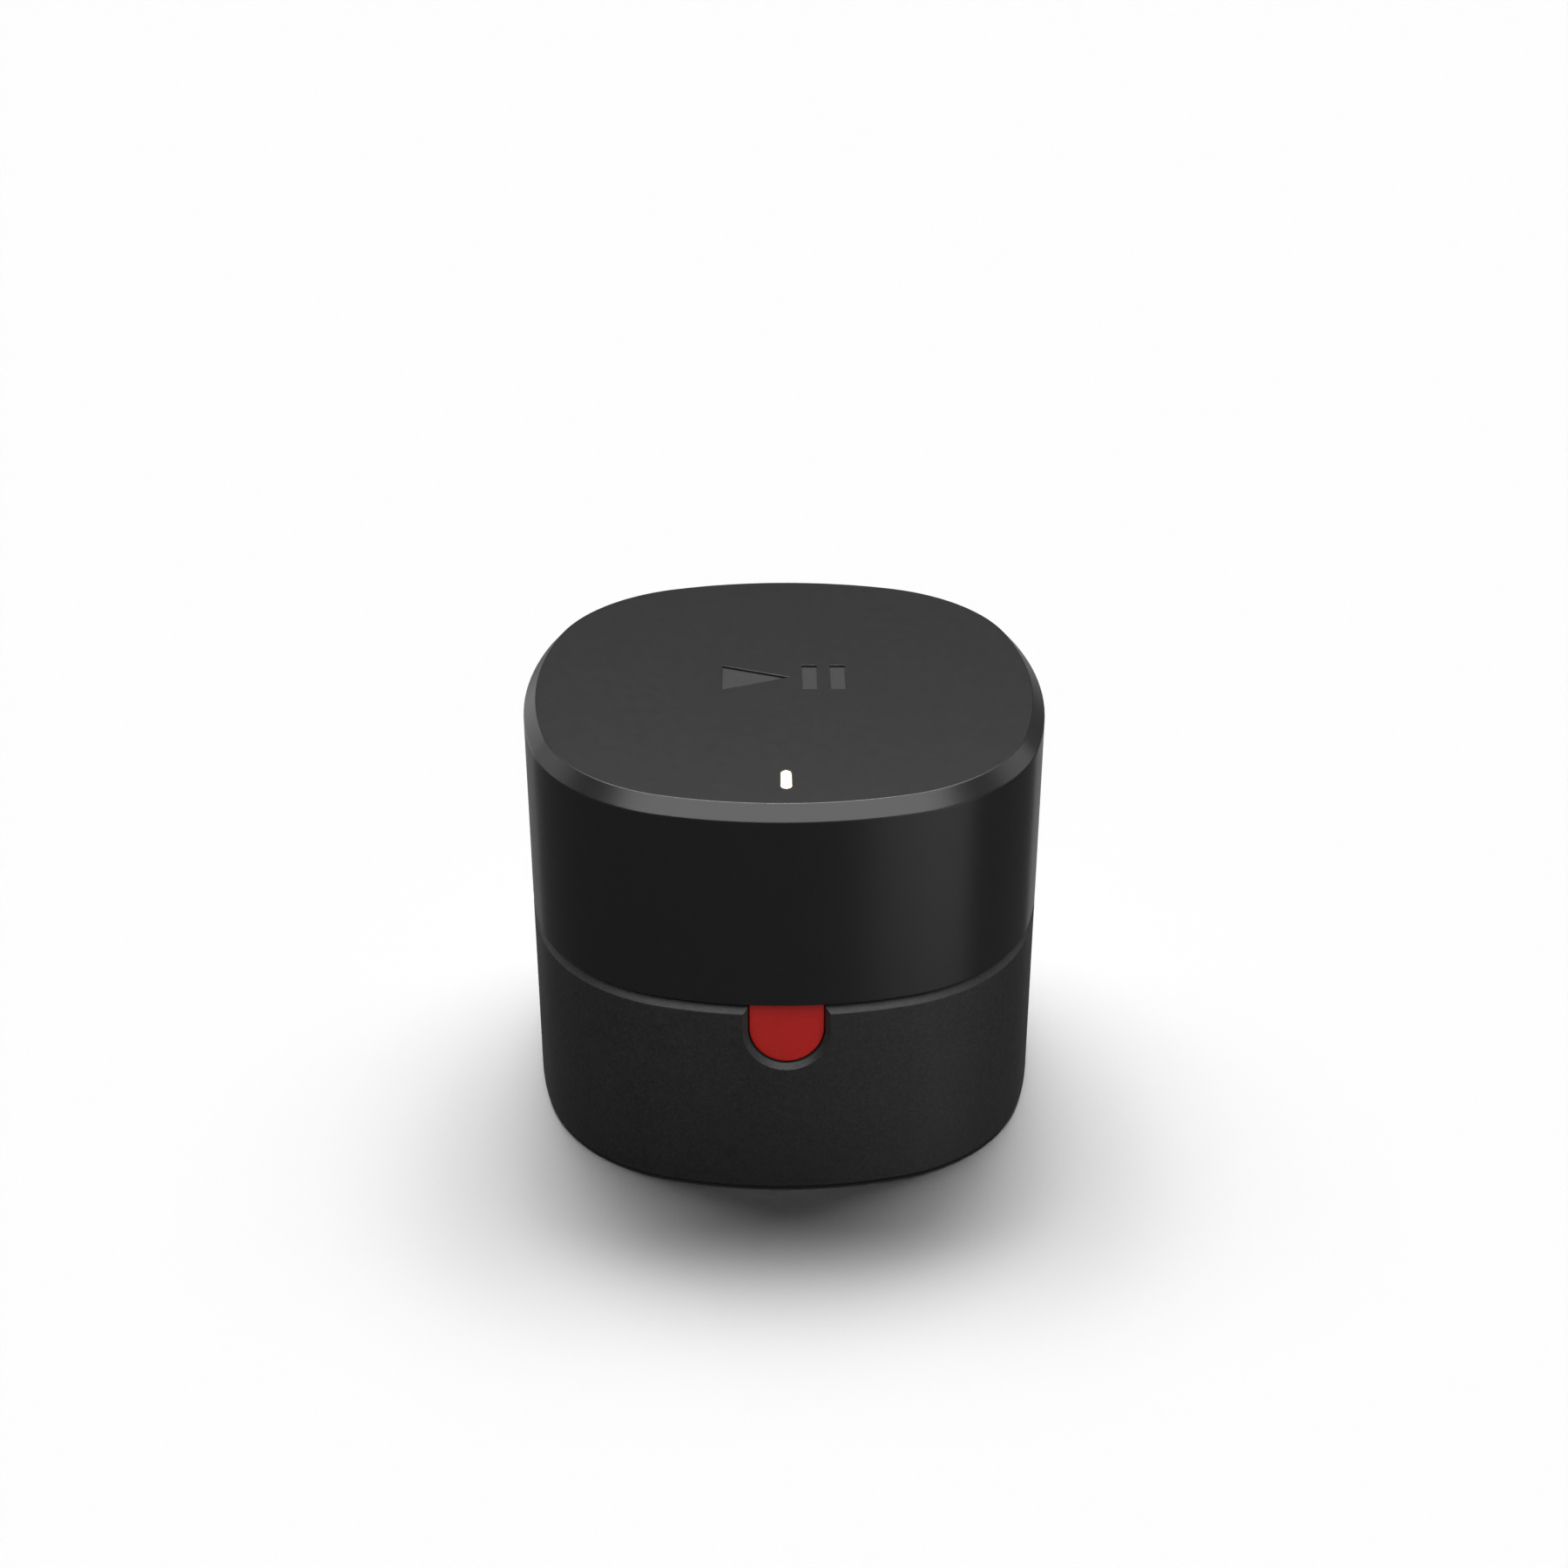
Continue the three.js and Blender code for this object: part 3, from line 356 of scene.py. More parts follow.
class Finish:
    """One procedural material, built from short node calls. Textures run in object millimetres."""

    def __init__(self, name):
        self.material = bpy.data.materials.new(name)
        self.material.use_nodes = True
        self.nodes = self.material.node_tree.nodes
        self.links = self.material.node_tree.links
        self.shader = self.nodes["Principled BSDF"]
        scale = self.add("ShaderNodeVectorMath", {"operation": "SCALE"}, {"Scale": 1 / MM})
        place = self.nodes.new("ShaderNodeTexCoord")
        self.links.new(place.outputs["Object"], scale.inputs[0])
        self.place = scale.outputs[0]

    def add(self, kind, settings=None, inputs=None):
        node = self.nodes.new(kind)
        for name, value in (settings or {}).items():
            setattr(node, name, value)
        for name, value in (inputs or {}).items():
            if isinstance(value, bpy.types.NodeSocket):
                self.links.new(value, node.inputs[name])
            else:
                node.inputs[name].default_value = value
        return node

    def set(self, **values):
        """Sets or links the shader's own sockets."""
        for name, value in values.items():
            socket = self.shader.inputs[name.replace("_", " ")]
            if isinstance(value, bpy.types.NodeSocket):
                self.links.new(value, socket)
            else:
                socket.default_value = value

    def stretch(self, x, y, z):
        """Object millimetres scaled by a different amount along each axis."""
        inputs = {0: self.place, 1: (x, y, z)}
        return self.add("ShaderNodeVectorMath", {"operation": "MULTIPLY"}, inputs).outputs[0]

    def noise(self, size, detail=2.0, place=None):
        """Noise whose features are about size millimetres."""
        inputs = {"Vector": place or self.place, "Scale": 1 / size, "Detail": detail}
        return self.add("ShaderNodeTexNoise", None, inputs).outputs["Fac"]

    def cells(self, size):
        inputs = {"Vector": self.place, "Scale": 1 / size}
        return self.add("ShaderNodeTexVoronoi", None, inputs).outputs["Distance"]

    def span(self, value, low, high, from_low=0.3, from_high=0.7):
        """Brings a texture's usual range to low..high."""
        inputs = {"Value": value, "From Min": from_low, "From Max": from_high}
        inputs.update({"To Min": low, "To Max": high})
        return self.add("ShaderNodeMapRange", None, inputs).outputs["Result"]

    def blend(self, factor, first, second):
        inputs = {"Factor": factor, 6: first, 7: second}
        return self.add("ShaderNodeMix", {"data_type": "RGBA"}, inputs).outputs[2]

    def bump(self, height, depth, strength=1.0, normal=None):
        """Relief of a given depth in millimetres."""
        inputs = {"Height": height, "Distance": depth * MM, "Strength": strength}
        if normal:
            inputs["Normal"] = normal
        return self.add("ShaderNodeBump", None, inputs).outputs["Normal"]

    def edges(self, radius=0.25):
        """1 on rubbed edges, broken up by noise, and 0 where the rounded normal is the true one."""
        soft = self.add("ShaderNodeBevel", {"samples": 4}, {"Radius": radius * MM}).outputs["Normal"]
        true = self.add("ShaderNodeNewGeometry").outputs["True Normal"]
        inputs = {0: soft, 1: true}
        dot = self.add("ShaderNodeVectorMath", {"operation": "DOT_PRODUCT"}, inputs).outputs["Value"]
        sharp = self.span(dot, 0, 1, 0.99, 0.85)
        patchy = self.span(self.noise(0.9, 3), 0.35, 1)
        settings = {"operation": "MULTIPLY", "use_clamp": True}
        return self.add("ShaderNodeMath", settings, {0: sharp, 1: patchy}).outputs[0]


def shade(colour, factor):
    """A colour lightened or darkened, with its alpha."""
    return tuple(min(channel * factor, 1) for channel in colour[:3]) + (1,)


def moulded(name, colour, roughness, grain, depth, wear=2.0, specular=0.5, speckle=1.3, uneven=1.0):
    """Moulded plastic: cloudy colour and gloss, a fine grain, and edges rubbed lighter.

    The speckle says how much lighter the grain's flecks are, uneven how strong the clouds are.
    """
    look = Finish(name)
    cloud = look.noise(9, 3)
    speck = look.noise(grain * 2.5, 2)
    shift = 0.1 * uneven
    gloss = 0.03 * uneven
    tone = look.blend(look.span(cloud, 0, 1), shade(colour, 1 - shift), shade(colour, 1 + shift))
    tone = look.blend(look.span(speck, 0, 0.5), tone, shade(colour, speckle))
    tone = look.blend(look.edges(), tone, shade(colour, wear))
    grain_height = look.noise(grain, 2)
    look.set(
        Base_Color=tone,
        Roughness=look.span(look.noise(2.2, 4), roughness - gloss, roughness + gloss),
        Specular_IOR_Level=specular,
        Normal=look.bump(grain_height, depth),
    )
    return look.material


def metal(name, colour, roughness, along=(1, 1, 1), grain=0.3, depth=0.004):
    """Drawn or plated metal: its streaks run along the axis with the smallest factor."""
    look = Finish(name)
    streaks = look.noise(grain, 3, look.stretch(*along))
    stains = look.noise(4, 4)
    tone = look.blend(look.span(stains, 0, 1), shade(colour, 0.85), colour)
    tone = look.blend(look.edges(), tone, shade(colour, 1.2))
    look.set(
        Base_Color=tone,
        Metallic=1.0,
        Roughness=look.span(streaks, roughness - 0.08, roughness + 0.08),
        Normal=look.bump(streaks, depth),
    )
    return look.material


def circuit_board(name, colour):
    """Green solder mask over copper tracks, with rows of tinned pads."""
    look = Finish(name)
    brick = {"Vector": look.place, "Scale": 0.33, "Mortar Size": 0.035}
    brick.update({"Brick Width": 1.4, "Row Height": 0.45})
    tracks = look.add("ShaderNodeTexBrick", {"offset": 0.37}, brick).outputs["Fac"]
    dots = look.span(look.cells(2.6), 1, 0, 0.10, 0.13)
    mask = look.blend(tracks, shade(colour, 0.8), shade(colour, 1.9))
    tone = look.blend(dots, mask, (0.62, 0.60, 0.55, 1))
    look.set(
        Base_Color=tone,
        Metallic=look.span(dots, 0, 0.9, 0, 1),
        Roughness=look.span(look.noise(1.5, 3), 0.32, 0.45),
        Normal=look.bump(tracks, 0.03),
    )
    return look.material


def striped(name, colour, line_colour, pitch, roughness):
    """A flat ribbon with fine conductors running along it."""
    look = Finish(name)
    inputs = {"Vector": look.place, "Scale": 1 / (2 * pitch), "Distortion": 0.0}
    wave = look.add("ShaderNodeTexWave", {"bands_direction": "X"}, inputs).outputs["Fac"]
    tone = look.blend(look.span(wave, 0, 1, 0.45, 0.7), colour, line_colour)
    tone = look.blend(look.span(look.noise(3, 3), 0, 0.4), tone, shade(colour, 0.8))
    look.set(
        Base_Color=tone,
        Roughness=look.span(look.noise(1.2), roughness - 0.05, roughness + 0.05),
        Normal=look.bump(wave, 0.04),
    )
    return look.material


def light_guide():
    """Milky guide glowing warm white, a little warmer at its rim."""
    look = Finish("light_guide")
    inputs = {0: look.place, 1: (0, LIGHT_Y, 0)}
    offset = look.add("ShaderNodeVectorMath", {"operation": "SUBTRACT"}, inputs)
    squash = (2 / LIGHT_WIDTH, 1.6 / LIGHT_LENGTH, 0)
    flat = look.add("ShaderNodeVectorMath", {"operation": "MULTIPLY"}, {0: offset.outputs[0], 1: squash})
    length = look.add("ShaderNodeVectorMath", {"operation": "LENGTH"}, {0: flat.outputs[0]})
    reach = length.outputs["Value"]
    rim = look.span(reach, 0, 1, 0.7, 1.05)
    glow = look.blend(rim, (1, 0.96, 0.86, 1), (1, 0.72, 0.42, 1))
    milk = look.span(look.noise(0.5, 2), 0.28, 0.4)
    look.set(
        Base_Color=glow,
        Emission_Color=glow,
        Emission_Strength=2.6,
        Roughness=milk,
        Normal=look.bump(look.noise(0.4), 0.01),
    )
    return look.material


UPPER = moulded("upper_black", (0.0098, 0.0098, 0.0102, 1), 0.30, 0.12, 0.002, speckle=1.1, uneven=0.35)
SIGN = moulded("sign_black", (0.013, 0.013, 0.0136, 1), 0.62, 0.16, 0.02, specular=0.35)
LOWER = moulded("lower_black", (0.0113, 0.0113, 0.0115, 1), 0.50, 0.24, 0.045, speckle=2.2)
RED = moulded("button_red", (0.32, 0.0068, 0.0045, 1), 0.5, 0.14, 0.006, wear=1.3, specular=0.22)
RUBBER = moulded("foot_rubber", (0.016, 0.016, 0.016, 1), 0.85, 0.35, 0.04, wear=1.5, specular=0.3)
COVER = moulded("cover_black", (0.013, 0.013, 0.013, 1), 0.6, 0.25, 0.03)
INNER = moulded("inner_plastic", (0.042, 0.042, 0.045, 1), 0.65, 0.3, 0.02)
CHIP = moulded("component_black", (0.014, 0.014, 0.015, 1), 0.45, 0.12, 0.012, wear=1.6)
SOCKET_BLACK = moulded("socket_black", (0.010, 0.010, 0.011, 1), 0.4, 0.2, 0.008)
WHITE = moulded("connector_white", (0.72, 0.70, 0.63, 1), 0.45, 0.3, 0.01, wear=1.1)
PAD = moulded("thermal_pad", (0.32, 0.34, 0.37, 1), 0.85, 0.5, 0.05, wear=1.1)
CABLE = moulded("cable_grey", (0.09, 0.095, 0.1, 1), 0.5, 0.3, 0.01, wear=1.3)
ALUMINIUM = metal("sink_aluminium", (0.62, 0.63, 0.65, 1), 0.36, (1, 0.08, 0.08))
TIN = metal("tinned_steel", (0.66, 0.66, 0.65, 1), 0.28, (1, 0.15, 1), 0.5, 0.002)
SCREW = metal("screw_steel", (0.36, 0.36, 0.37, 1), 0.3, (1, 1, 1), 0.25)
GOLD = metal("contact_gold", (0.83, 0.58, 0.23, 1), 0.25, (1, 0.1, 1), 0.2, 0.001)
BOARD = circuit_board("board_green", (0.012, 0.075, 0.038, 1))
RIBBON = striped("ribbon_white", (0.75, 0.73, 0.66, 1), (0.5, 0.47, 0.4, 1), 0.5, 0.4)
GLOW = light_guide()


# ---------------------------------------------------------------- housings


def capsule(width, length, steps=24):
    """Slot outline round the light, its round ends at the front and the back."""
    reach = (length - width) / 2
    back = arc((0, LIGHT_Y + reach), width / 2, 0, math.pi, steps)
    front = arc((0, LIGHT_Y - reach), width / 2, math.pi, 2 * math.pi, steps)
    last = (-width / 2, LIGHT_Y + reach)
    return back + [last] + front + [(width / 2, LIGHT_Y - reach)]


def sign_tools():
    """Cutters for a play triangle and two pause bars."""
    low, high, right = SIGN_Y - SIGN_HEIGHT / 2, SIGN_Y + SIGN_HEIGHT / 2, SIGN_WIDTH / 2
    tip = right - 2 * PAUSE_BAR - 2 * PAUSE_GAP
    outlines = [[(-right, low), (tip, SIGN_Y), (-right, high)]]
    for step in (0, PAUSE_BAR + PAUSE_GAP):
        x0, x1 = right - step - PAUSE_BAR, right - step
        outlines.append([(x0, low), (x1, low), (x1, high), (x0, high)])
    return [prism("sign_tool", outline, TOP_Z - SIGN_DEPTH, TOP_Z + 1) for outline in outlines]


def upper_housing():
    rim = 0.25
    profile = rounded([
        (WALL + 2, CEILING_Z, 0),
        (WALL, CEILING_Z - 2, 0.4),
        (WALL, SPLIT_Z, rim),
        (0, SPLIT_Z, rim),
        (0, TOP_Z - TOP_CHAMFER_DOWN, 0.55),
        (TOP_CHAMFER_IN, TOP_Z, 0.3),
        (TOP_CHAMFER_IN + 1.2, TOP_Z, 0),
    ])
    shell = loft("upper_shell", housing_rings(profile))
    slot = prism("slot_tool", capsule(LIGHT_WIDTH, LIGHT_LENGTH), TOP_Z - 4, TOP_Z + 1)
    combine(shell, [slot, *sign_tools()], "DIFFERENCE")
    soften(shell, 0.06, angle=60)
    piece = finish_piece(shell, "player", [UPPER, SIGN], ["upper_housing"])
    for face in piece.data.polygons:
        sunk = abs(face.center.z - (TOP_Z - SIGN_DEPTH) * MM) < 0.05 * MM and face.normal.z > 0.9
        face.material_index = 1 if sunk else 0
    exact_normals(piece)
    return piece


def button_outline(grow, top_z, steps=32):
    """U outline of the button in X and Z, grown outwards by a distance."""
    radius = BUTTON_HALF + grow
    curve = arc((0, BUTTON_ARC_Z), radius, math.pi, 2 * math.pi, steps)
    return [(radius, top_z), (-radius, top_z)] + curve + [(radius, BUTTON_ARC_Z)]


def notch_tool():
    """Straight through the front wall, then flaring into a chamfer with rounded edges."""
    flare = rounded([
        (BUTTON_GAP, 4, 0),
        (BUTTON_GAP, NOTCH_CHAMFER, 0.15),
        (BUTTON_GAP + NOTCH_CHAMFER, 0, 0.3),
        (BUTTON_GAP + NOTCH_CHAMFER + 2, -0.3, 0),
    ])
    rings = [[(x, -38, z) for x, z in button_outline(BUTTON_GAP, NOTCH_TOP_Z)]]
    for grow, depth in flare:
        rings.append([(x, depth - wall_y(x), z) for x, z in button_outline(grow, NOTCH_TOP_Z)])
    rings.append([(x, -46, z) for x, z in button_outline(flare[-1][0] + 2, NOTCH_TOP_Z)])
    return loft("notch_tool", rings)


def round_rectangle(x0, x1, z0, z1, radius, steps=8):
    corners = [(x1, z1, 0), (x0, z1, 90), (x0, z0, 180), (x1, z0, 270)]
    points = []
    for x, z, start in corners:
        in_x = math.copysign(radius, x - (x0 + x1) / 2)
        in_z = math.copysign(radius, z - (z0 + z1) / 2)
        centre = (x - in_x, z - in_z)
        angles = (math.radians(start), math.radians(start + 90))
        points += arc(centre, radius, *angles, steps) + [turn_end(centre, radius, angles[1])]
    return points


def turn_end(centre, radius, angle):
    return (centre[0] + radius * math.cos(angle), centre[1] + radius * math.sin(angle))


def bay_tool():
    """Recess for the plugs, from outside the back wall to the flat panel."""
    outline = round_rectangle(-BAY_HALF, BAY_HALF, BAY_LOW_Z, BAY_HIGH_Z, 1.6)
    return loft("bay_tool", [[(x, y, z) for x, z in outline] for y in (PANEL_Y, HALF + 3)])


def panel_block():
    """Solid behind the bay that carries the sockets' openings, following the wall inside its thickness."""
    half = BAY_HALF + 0.6
    steps = 24
    xs = [half - 2 * half * i / steps for i in range(steps + 1)]
    outline = [(-half, PANEL_BACK_Y), (half, PANEL_BACK_Y)] + [(x, wall_y(x, WALL / 2)) for x in xs]
    return prism("panel_block", outline, 5, BAY_HIGH_Z + 2.2)


def socket_openings():
    """One opening for each socket, a running fit on its own box."""
    tools = []
    for name in ("power_socket", "hdmi_socket", "ethernet_socket"):
        low, high = (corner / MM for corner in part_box(name))
        fit = SOCKET_CLEARANCE
        outline = round_rectangle(low.x - fit, high.x + fit, low.z - fit, high.z + fit, 0.5, 4)
        rings = [[(x, y, z) for x, z in outline] for y in (PANEL_BACK_Y - 1, PANEL_Y + 1)]
        tools.append(loft("socket_tool", rings))
    return tools


def lower_housing():
    profile = rounded([
        (BASE_CHAMFER, BASE_Z, 0.12),
        (0, BASE_Z + BASE_CHAMFER, 0.2),
        (0, LEDGE_Z - RIM_CHAMFER, 0.3),
        (RIM_CHAMFER, LEDGE_Z, 0.15),
        (LIP_OUTER, LEDGE_Z, 0.2),
        (LIP_OUTER, LIP_TOP_Z, 0.3),
        (LIP_INNER, LIP_TOP_Z, 0.3),
        (LIP_INNER, LIP_START_Z + LIP_INNER - WALL, 0.4),
        (WALL, LIP_START_Z, 0.4),
        (WALL, BASE_Z, 0.25),
    ], closed=True)
    shell = loft("lower_shell", housing_rings(profile), closed=True)
    combine(shell, [panel_block()], "UNION")
    half = FLANGE_HALF + POCKET_CLEARANCE
    low = (-half, FLANGE_FRONT_Y - 0.5, BUTTON_ARC_Z - FLANGE_HALF - 0.5)
    pocket = box("pocket_tool", low, (half, STEM_END_Y + 0.5, LEDGE_Z + 0.2))
    combine(shell, [bay_tool(), *socket_openings(), pocket, notch_tool()], "DIFFERENCE")
    piece = finish_piece(shell, "player", [LOWER], ["lower_housing"])
    exact_normals(piece)
    return piece


def rubber_foot():
    edge = 0.35
    profile = rounded([
        (FOOT_INSET, FOOT_LOW_Z, edge),
        (FOOT_INSET, FOOT_TOP_Z, edge),
        (FOOT_INSET + FOOT_WIDTH, FOOT_TOP_Z, edge),
        (FOOT_INSET + FOOT_WIDTH, FOOT_LOW_Z, edge),
    ], closed=True, steps=4)
    foot = loft("foot_ring", housing_rings(profile), closed=True)
    return finish_piece(foot, "player", [RUBBER], ["rubber_foot"])


# ---------------------------------------------------------------- light and button


def status_light():
    """Milky guide: a capsule with a softly rounded top on a flat foot."""
    gap = 0.1
    profile = rounded([(gap, LIGHT_FOOT_Z, 0), (gap, LIGHT_TOP_Z, 0.18), (gap + 0.5, LIGHT_TOP_Z, 0)])
    rings = []
    for inset, z in profile:
        rings.append([(x, y, z) for x, y in capsule(LIGHT_WIDTH - 2 * inset, LIGHT_LENGTH - 2 * inset)])
    guide = loft("light_guide", rings)
    foot = box("guide_foot", (-2.2, LIGHT_Y - 4.2, LIGHT_FOOT_Z), (2.2, LIGHT_Y + 4.2, CEILING_Z - 0.1))
    combine(guide, [foot], "UNION")
    soften(guide, 0.08, angle=60)
    return finish_piece(guide, "player", [GLOW], ["status_light_pipe"])


def front_button():
    """Red cap with a rounded edge and a gently curved face, its flange and its stem."""
    edge = rounded([(0, 2, 0), (0, 0, BUTTON_EDGE), (1.2, 0, 0)], steps=6)
    rings = [[(x, FLANGE_FRONT_Y + 0.2, z) for x, z in button_outline(0, BUTTON_TOP_Z)]]
    for inset, depth in edge:
        ring = []
        for x, z in button_outline(-inset, BUTTON_TOP_Z - inset):
            dish = BUTTON_FACE_RADIUS - math.sqrt(BUTTON_FACE_RADIUS**2 - x**2)
            ring.append((x, min(BUTTON_FACE_Y + dish + depth, FLANGE_FRONT_Y + 0.1), z))
        rings.append(ring)
    cap = loft("button_cap", rings)
    flange = box("button_flange", (-FLANGE_HALF, FLANGE_FRONT_Y, BUTTON_ARC_Z - FLANGE_HALF),
                 (FLANGE_HALF, FLANGE_BACK_Y, BUTTON_TOP_Z))
    stem = bar_y("button_stem", STEM_RADIUS, 0, STEM_Z, FLANGE_BACK_Y - 0.2, STEM_END_Y)
    combine(cap, [flange, stem], "UNION")
    return finish_piece(cap, "button", [RED], ["front_button"])


# ---------------------------------------------------------------- socket details


def ethernet_contacts():
    """Eight gilt springs in the roof of the network socket."""
    pitch, half_wire = 1.02, 0.22
    low, high = (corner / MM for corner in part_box("ethernet_socket"))
    centre = (low.x + high.x) / 2
    pieces = []
    for i in range(8):
        x = centre + (i - 3.5) * pitch
        path = [(high.y - 2.2, 20.9), (high.y - 3.0, 20.3), (high.y - 8.5, 17.6), (high.y - 13.8, 18.2)]
        outline = [(y, z - 0.15) for y, z in path] + [(y, z + 0.15) for y, z in reversed(path)]
        rings = [[(x + side * half_wire, y, z) for y, z in outline] for side in (-1, 1)]
        pieces.append(loft("ethernet_contact_%d" % (i + 1), rings))
    for piece in pieces:
        finish_piece(piece, "player", [GOLD], [])
    return pieces


def hdmi_contacts():
    """Nineteen contacts in two rows on the tongue of the video socket."""
    low, high = (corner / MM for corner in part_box("hdmi_socket"))
    centre = (low.x + high.x) / 2
    pitch = 1.0
    tongue_low = low.z + 2.75
    tongue_high = tongue_low + 1.2
    for row, count, z in (("upper", 10, tongue_high), ("lower", 9, tongue_low)):
        vertices, faces = [], []
        for i in range(count):
            x = centre + (i - (count - 1) / 2) * pitch
            base = len(vertices)
            for dy in (high.y - 9.6, high.y - 1.4):
                for dx, dz in ((-0.2, -0.06), (0.2, -0.06), (0.2, 0.06), (-0.2, 0.06)):
                    vertices.append((x + dx, dy, z + dz))
            ring = [(0, 1, 5, 4), (1, 2, 6, 5), (2, 3, 7, 6), (3, 0, 4, 7), (3, 2, 1, 0), (4, 5, 6, 7)]
            faces += [tuple(base + k for k in face) for face in ring]
        strip = new_object("hdmi_contacts_" + row, vertices, faces)
        finish_piece(strip, "player", [GOLD], [])


# ---------------------------------------------------------------- materials of the carried-over nodes

FINISHES = {
    "bottom_cover": COVER, "light_board": BOARD, "status_led": WHITE, "button_guide": INNER,
    "button_board": BOARD, "switch_body": CHIP, "switch_plunger": WHITE, "main_board": BOARD,
    "processor": CHIP, "thermal_pad": PAD, "heat_sink": ALUMINIUM, "radio_shield": TIN,
    "power_inductor": CHIP, "power_socket": SOCKET_BLACK, "hdmi_socket": TIN, "ethernet_socket": TIN,
    "light_connector": WHITE, "button_connector": WHITE, "light_ribbon": RIBBON, "button_ribbon": RIBBON,
    "memory_chip": CHIP, "power_capacitor": ALUMINIUM, "antenna_cable": CABLE, "antenna": BOARD,
    "housing_screw": SCREW, "cover_screw": SCREW, "board_screw": SCREW, "heat_sink_screw": SCREW,
    "guide_screw": SCREW, "light_board_screw": SCREW,
}


def dress_nodes():
    """Gives every node that is still shown its material, fine edges and clean shading."""
    for name, node in frame["nodes"].items():
        keys = [key for key in FINISHES if name.startswith(key)]
        if not keys:
            continue
        material = FINISHES[max(keys, key=len)]
        node.data.materials.clear()
        node.data.materials.append(material)
        weld = node.modifiers.new("weld", "WELD")
        weld.merge_threshold = 0.001 * MM
        soften(node, 0.1 * MM, angle=50)
        node.modifiers.new("weighted", "WEIGHTED_NORMAL")


# ---------------------------------------------------------------- stage


def floor():
    size = 12
    corners = [(-size, -size, 0), (size, -size, 0), (size, size, 0), (-size, size, 0)]
    sheet = new_object("floor", [Vector(corner) for corner in corners], [(0, 1, 2, 3)])
    look = Finish("floor_white")
    look.set(Base_Color=(FLOOR_WHITE, FLOOR_WHITE, FLOOR_WHITE, 1), Roughness=0.9, Specular_IOR_Level=0.0)
    sheet.data.materials.append(look.material)
    sheet.visible_glossy = False
    return sheet


def sky():
    """Soft studio surroundings: brighter behind the object, dim below and in front, white to the camera."""
    world = bpy.data.worlds.new("studio")
    bpy.context.scene.world = world
    world.use_nodes = True
    nodes, links = world.node_tree.nodes, world.node_tree.links
    nodes.clear()
    place = nodes.new("ShaderNodeTexCoord")
    split = nodes.new("ShaderNodeSeparateXYZ")
    links.new(place.outputs["Generated"], split.inputs[0])

    def ramp(value, stops):
        node = nodes.new("ShaderNodeValToRGB")
        shift = nodes.new("ShaderNodeMapRange")
        shift.inputs["From Min"].default_value = -1
        links.new(value, shift.inputs["Value"])
        links.new(shift.outputs["Result"], node.inputs["Fac"])
        elements = node.color_ramp.elements
        while len(elements) < len(stops):
            elements.new(0.5)
        for element, (position, level) in zip(elements, stops):
            element.position = (position + 1) / 2
            element.color = (level, level, level, 1)
        return node.outputs["Color"]

    height = ramp(split.outputs["Z"], [(-1, 1), (-0.1, 1), (0.1, 0.5), (0.5, 0.5), (1, 0.5)])
    depth = ramp(split.outputs["Y"], [(-1, 0.3), (0, 0.5), (0.6, 0.9), (1, 1)])
    product = nodes.new("ShaderNodeMix")
    product.data_type = "RGBA"
    product.blend_type = "MULTIPLY"
    product.inputs["Factor"].default_value = 1
    links.new(height, product.inputs[6])
    links.new(depth, product.inputs[7])
    dim = nodes.new("ShaderNodeBackground")
    dim.inputs["Strength"].default_value = 0.1
    links.new(product.outputs[2], dim.inputs["Color"])
    bright = nodes.new("ShaderNodeBackground")
    bright.inputs["Color"].default_value = (1, 1, 1, 1)
    path = nodes.new("ShaderNodeLightPath")
    mix = nodes.new("ShaderNodeMixShader")
    output = nodes.new("ShaderNodeOutputWorld")
    links.new(path.outputs["Is Camera Ray"], mix.inputs["Fac"])
    links.new(dim.outputs[0], mix.inputs[1])
    links.new(bright.outputs[0], mix.inputs[2])
    links.new(mix.outputs[0], output.inputs["Surface"])


def aimed(name, light, azimuth, elevation, distance):
    """Places a lamp, looking at the object's middle. Azimuth 0 is the front and 90 the right."""
    lamp = bpy.data.objects.new(name, light)
    bpy.context.scene.collection.objects.link(lamp)
    a, e = math.radians(azimuth), math.radians(elevation)
    back = Vector((math.sin(a) * math.cos(e), -math.cos(a) * math.cos(e), math.sin(e)))
    middle = Vector((0, 0, TOP_Z / 2 * MM))
    lamp.location = middle + back * distance
    lamp.rotation_mode = "QUATERNION"
    lamp.rotation_quaternion = (-back).to_track_quat("-Z", "Y")
    return lamp


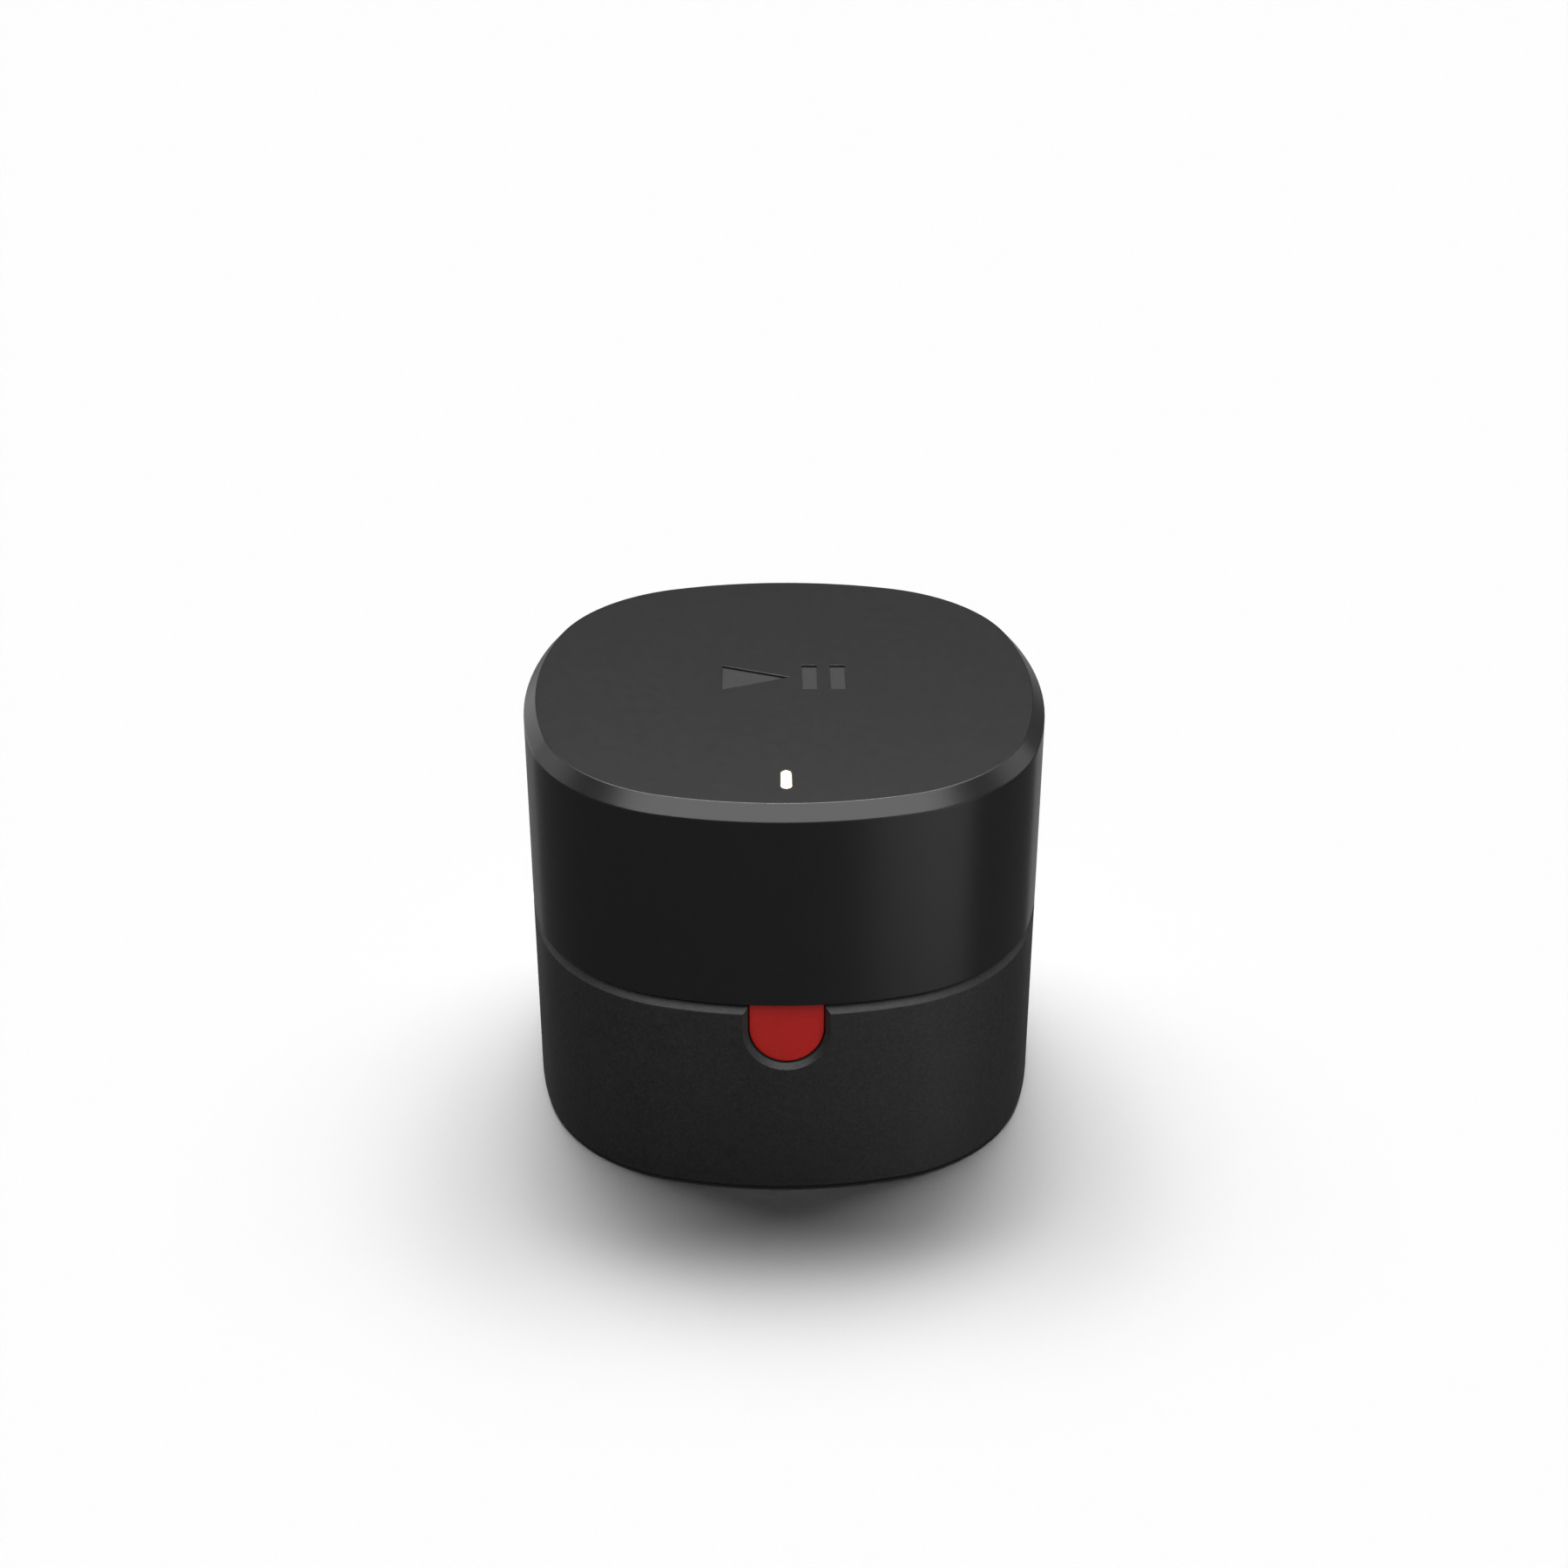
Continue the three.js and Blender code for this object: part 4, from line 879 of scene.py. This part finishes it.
def key_lights():
    """Broad soft lamps above and behind on both sides, whose shadows fall towards the camera and apart."""
    for azimuth, elevation, share, width in KEY_LAMPS:
        for side in (-1, 1):
            light = bpy.data.lights.new("key", "SUN")
            light.energy = share / 2 * FLOOR_LIGHT / math.sin(math.radians(elevation))
            light.angle = math.radians(width)
            aimed("key", light, side * azimuth, elevation, 2)


def softbox(name, azimuth, elevation, width, height, radiance, lit, distance=0.8):
    """A rectangular lamp of a given brightness that lights only the object."""
    light = bpy.data.lights.new(name, "AREA")
    light.shape = "RECTANGLE"
    light.size = width
    light.size_y = height
    light.energy = radiance * math.pi * width * height
    lamp = aimed(name, light, azimuth, elevation, distance)
    lamp.light_linking.receiver_collection = lit
    lamp.light_linking.blocker_collection = lit


def lights():
    lit = bpy.data.collections.new("object_only")
    for thing in bpy.context.scene.objects:
        if thing.type == "MESH" and thing.name != "floor":
            lit.objects.link(thing)
    key_lights()
    softbox("front_box", 0, 60, 1.5, 0.55, 3.4, lit)
    softbox("left_box", -112, 20, 0.35, 0.35, 1.0, lit)
    softbox("far_right_box", 112, 20, 0.4, 0.35, 1.1, lit)
    softbox("back_box", 180, 44, 0.5, 0.2, 0.8, lit)
    softbox("right_box", 48, -3, 0.7, 0.9, 0.7, lit)
    softbox("left_back_box", -140, -4, 0.35, 0.5, 0.78, lit)
    softbox("right_back_box", 162, -20, 0.4, 0.4, 0.35, lit)
    softbox("left_rear_box", -160, -20, 0.4, 0.4, 0.2, lit)


def camera():
    data = bpy.data.cameras.new("camera")
    data.lens = CAMERA_LENS
    data.sensor_width = 36
    data.clip_start = 0.01
    lens = bpy.data.objects.new("camera", data)
    bpy.context.scene.collection.objects.link(lens)
    yaw = math.radians(CAMERA_YAW)
    lens.location = (-CAMERA_BACK * math.sin(yaw), -CAMERA_BACK * math.cos(yaw), CAMERA_HEIGHT)
    lens.rotation_euler = (math.pi / 2 - math.radians(CAMERA_PITCH), 0, -yaw)
    bpy.context.scene.camera = lens


# ---------------------------------------------------------------- assembly

upper_housing()
lower_housing()
rubber_foot()
status_light()
front_button()
ethernet_contacts()
hdmi_contacts()
dress_nodes()

floor()
sky()
lights()
camera()
bpy.context.scene.view_settings.view_transform = "Standard"
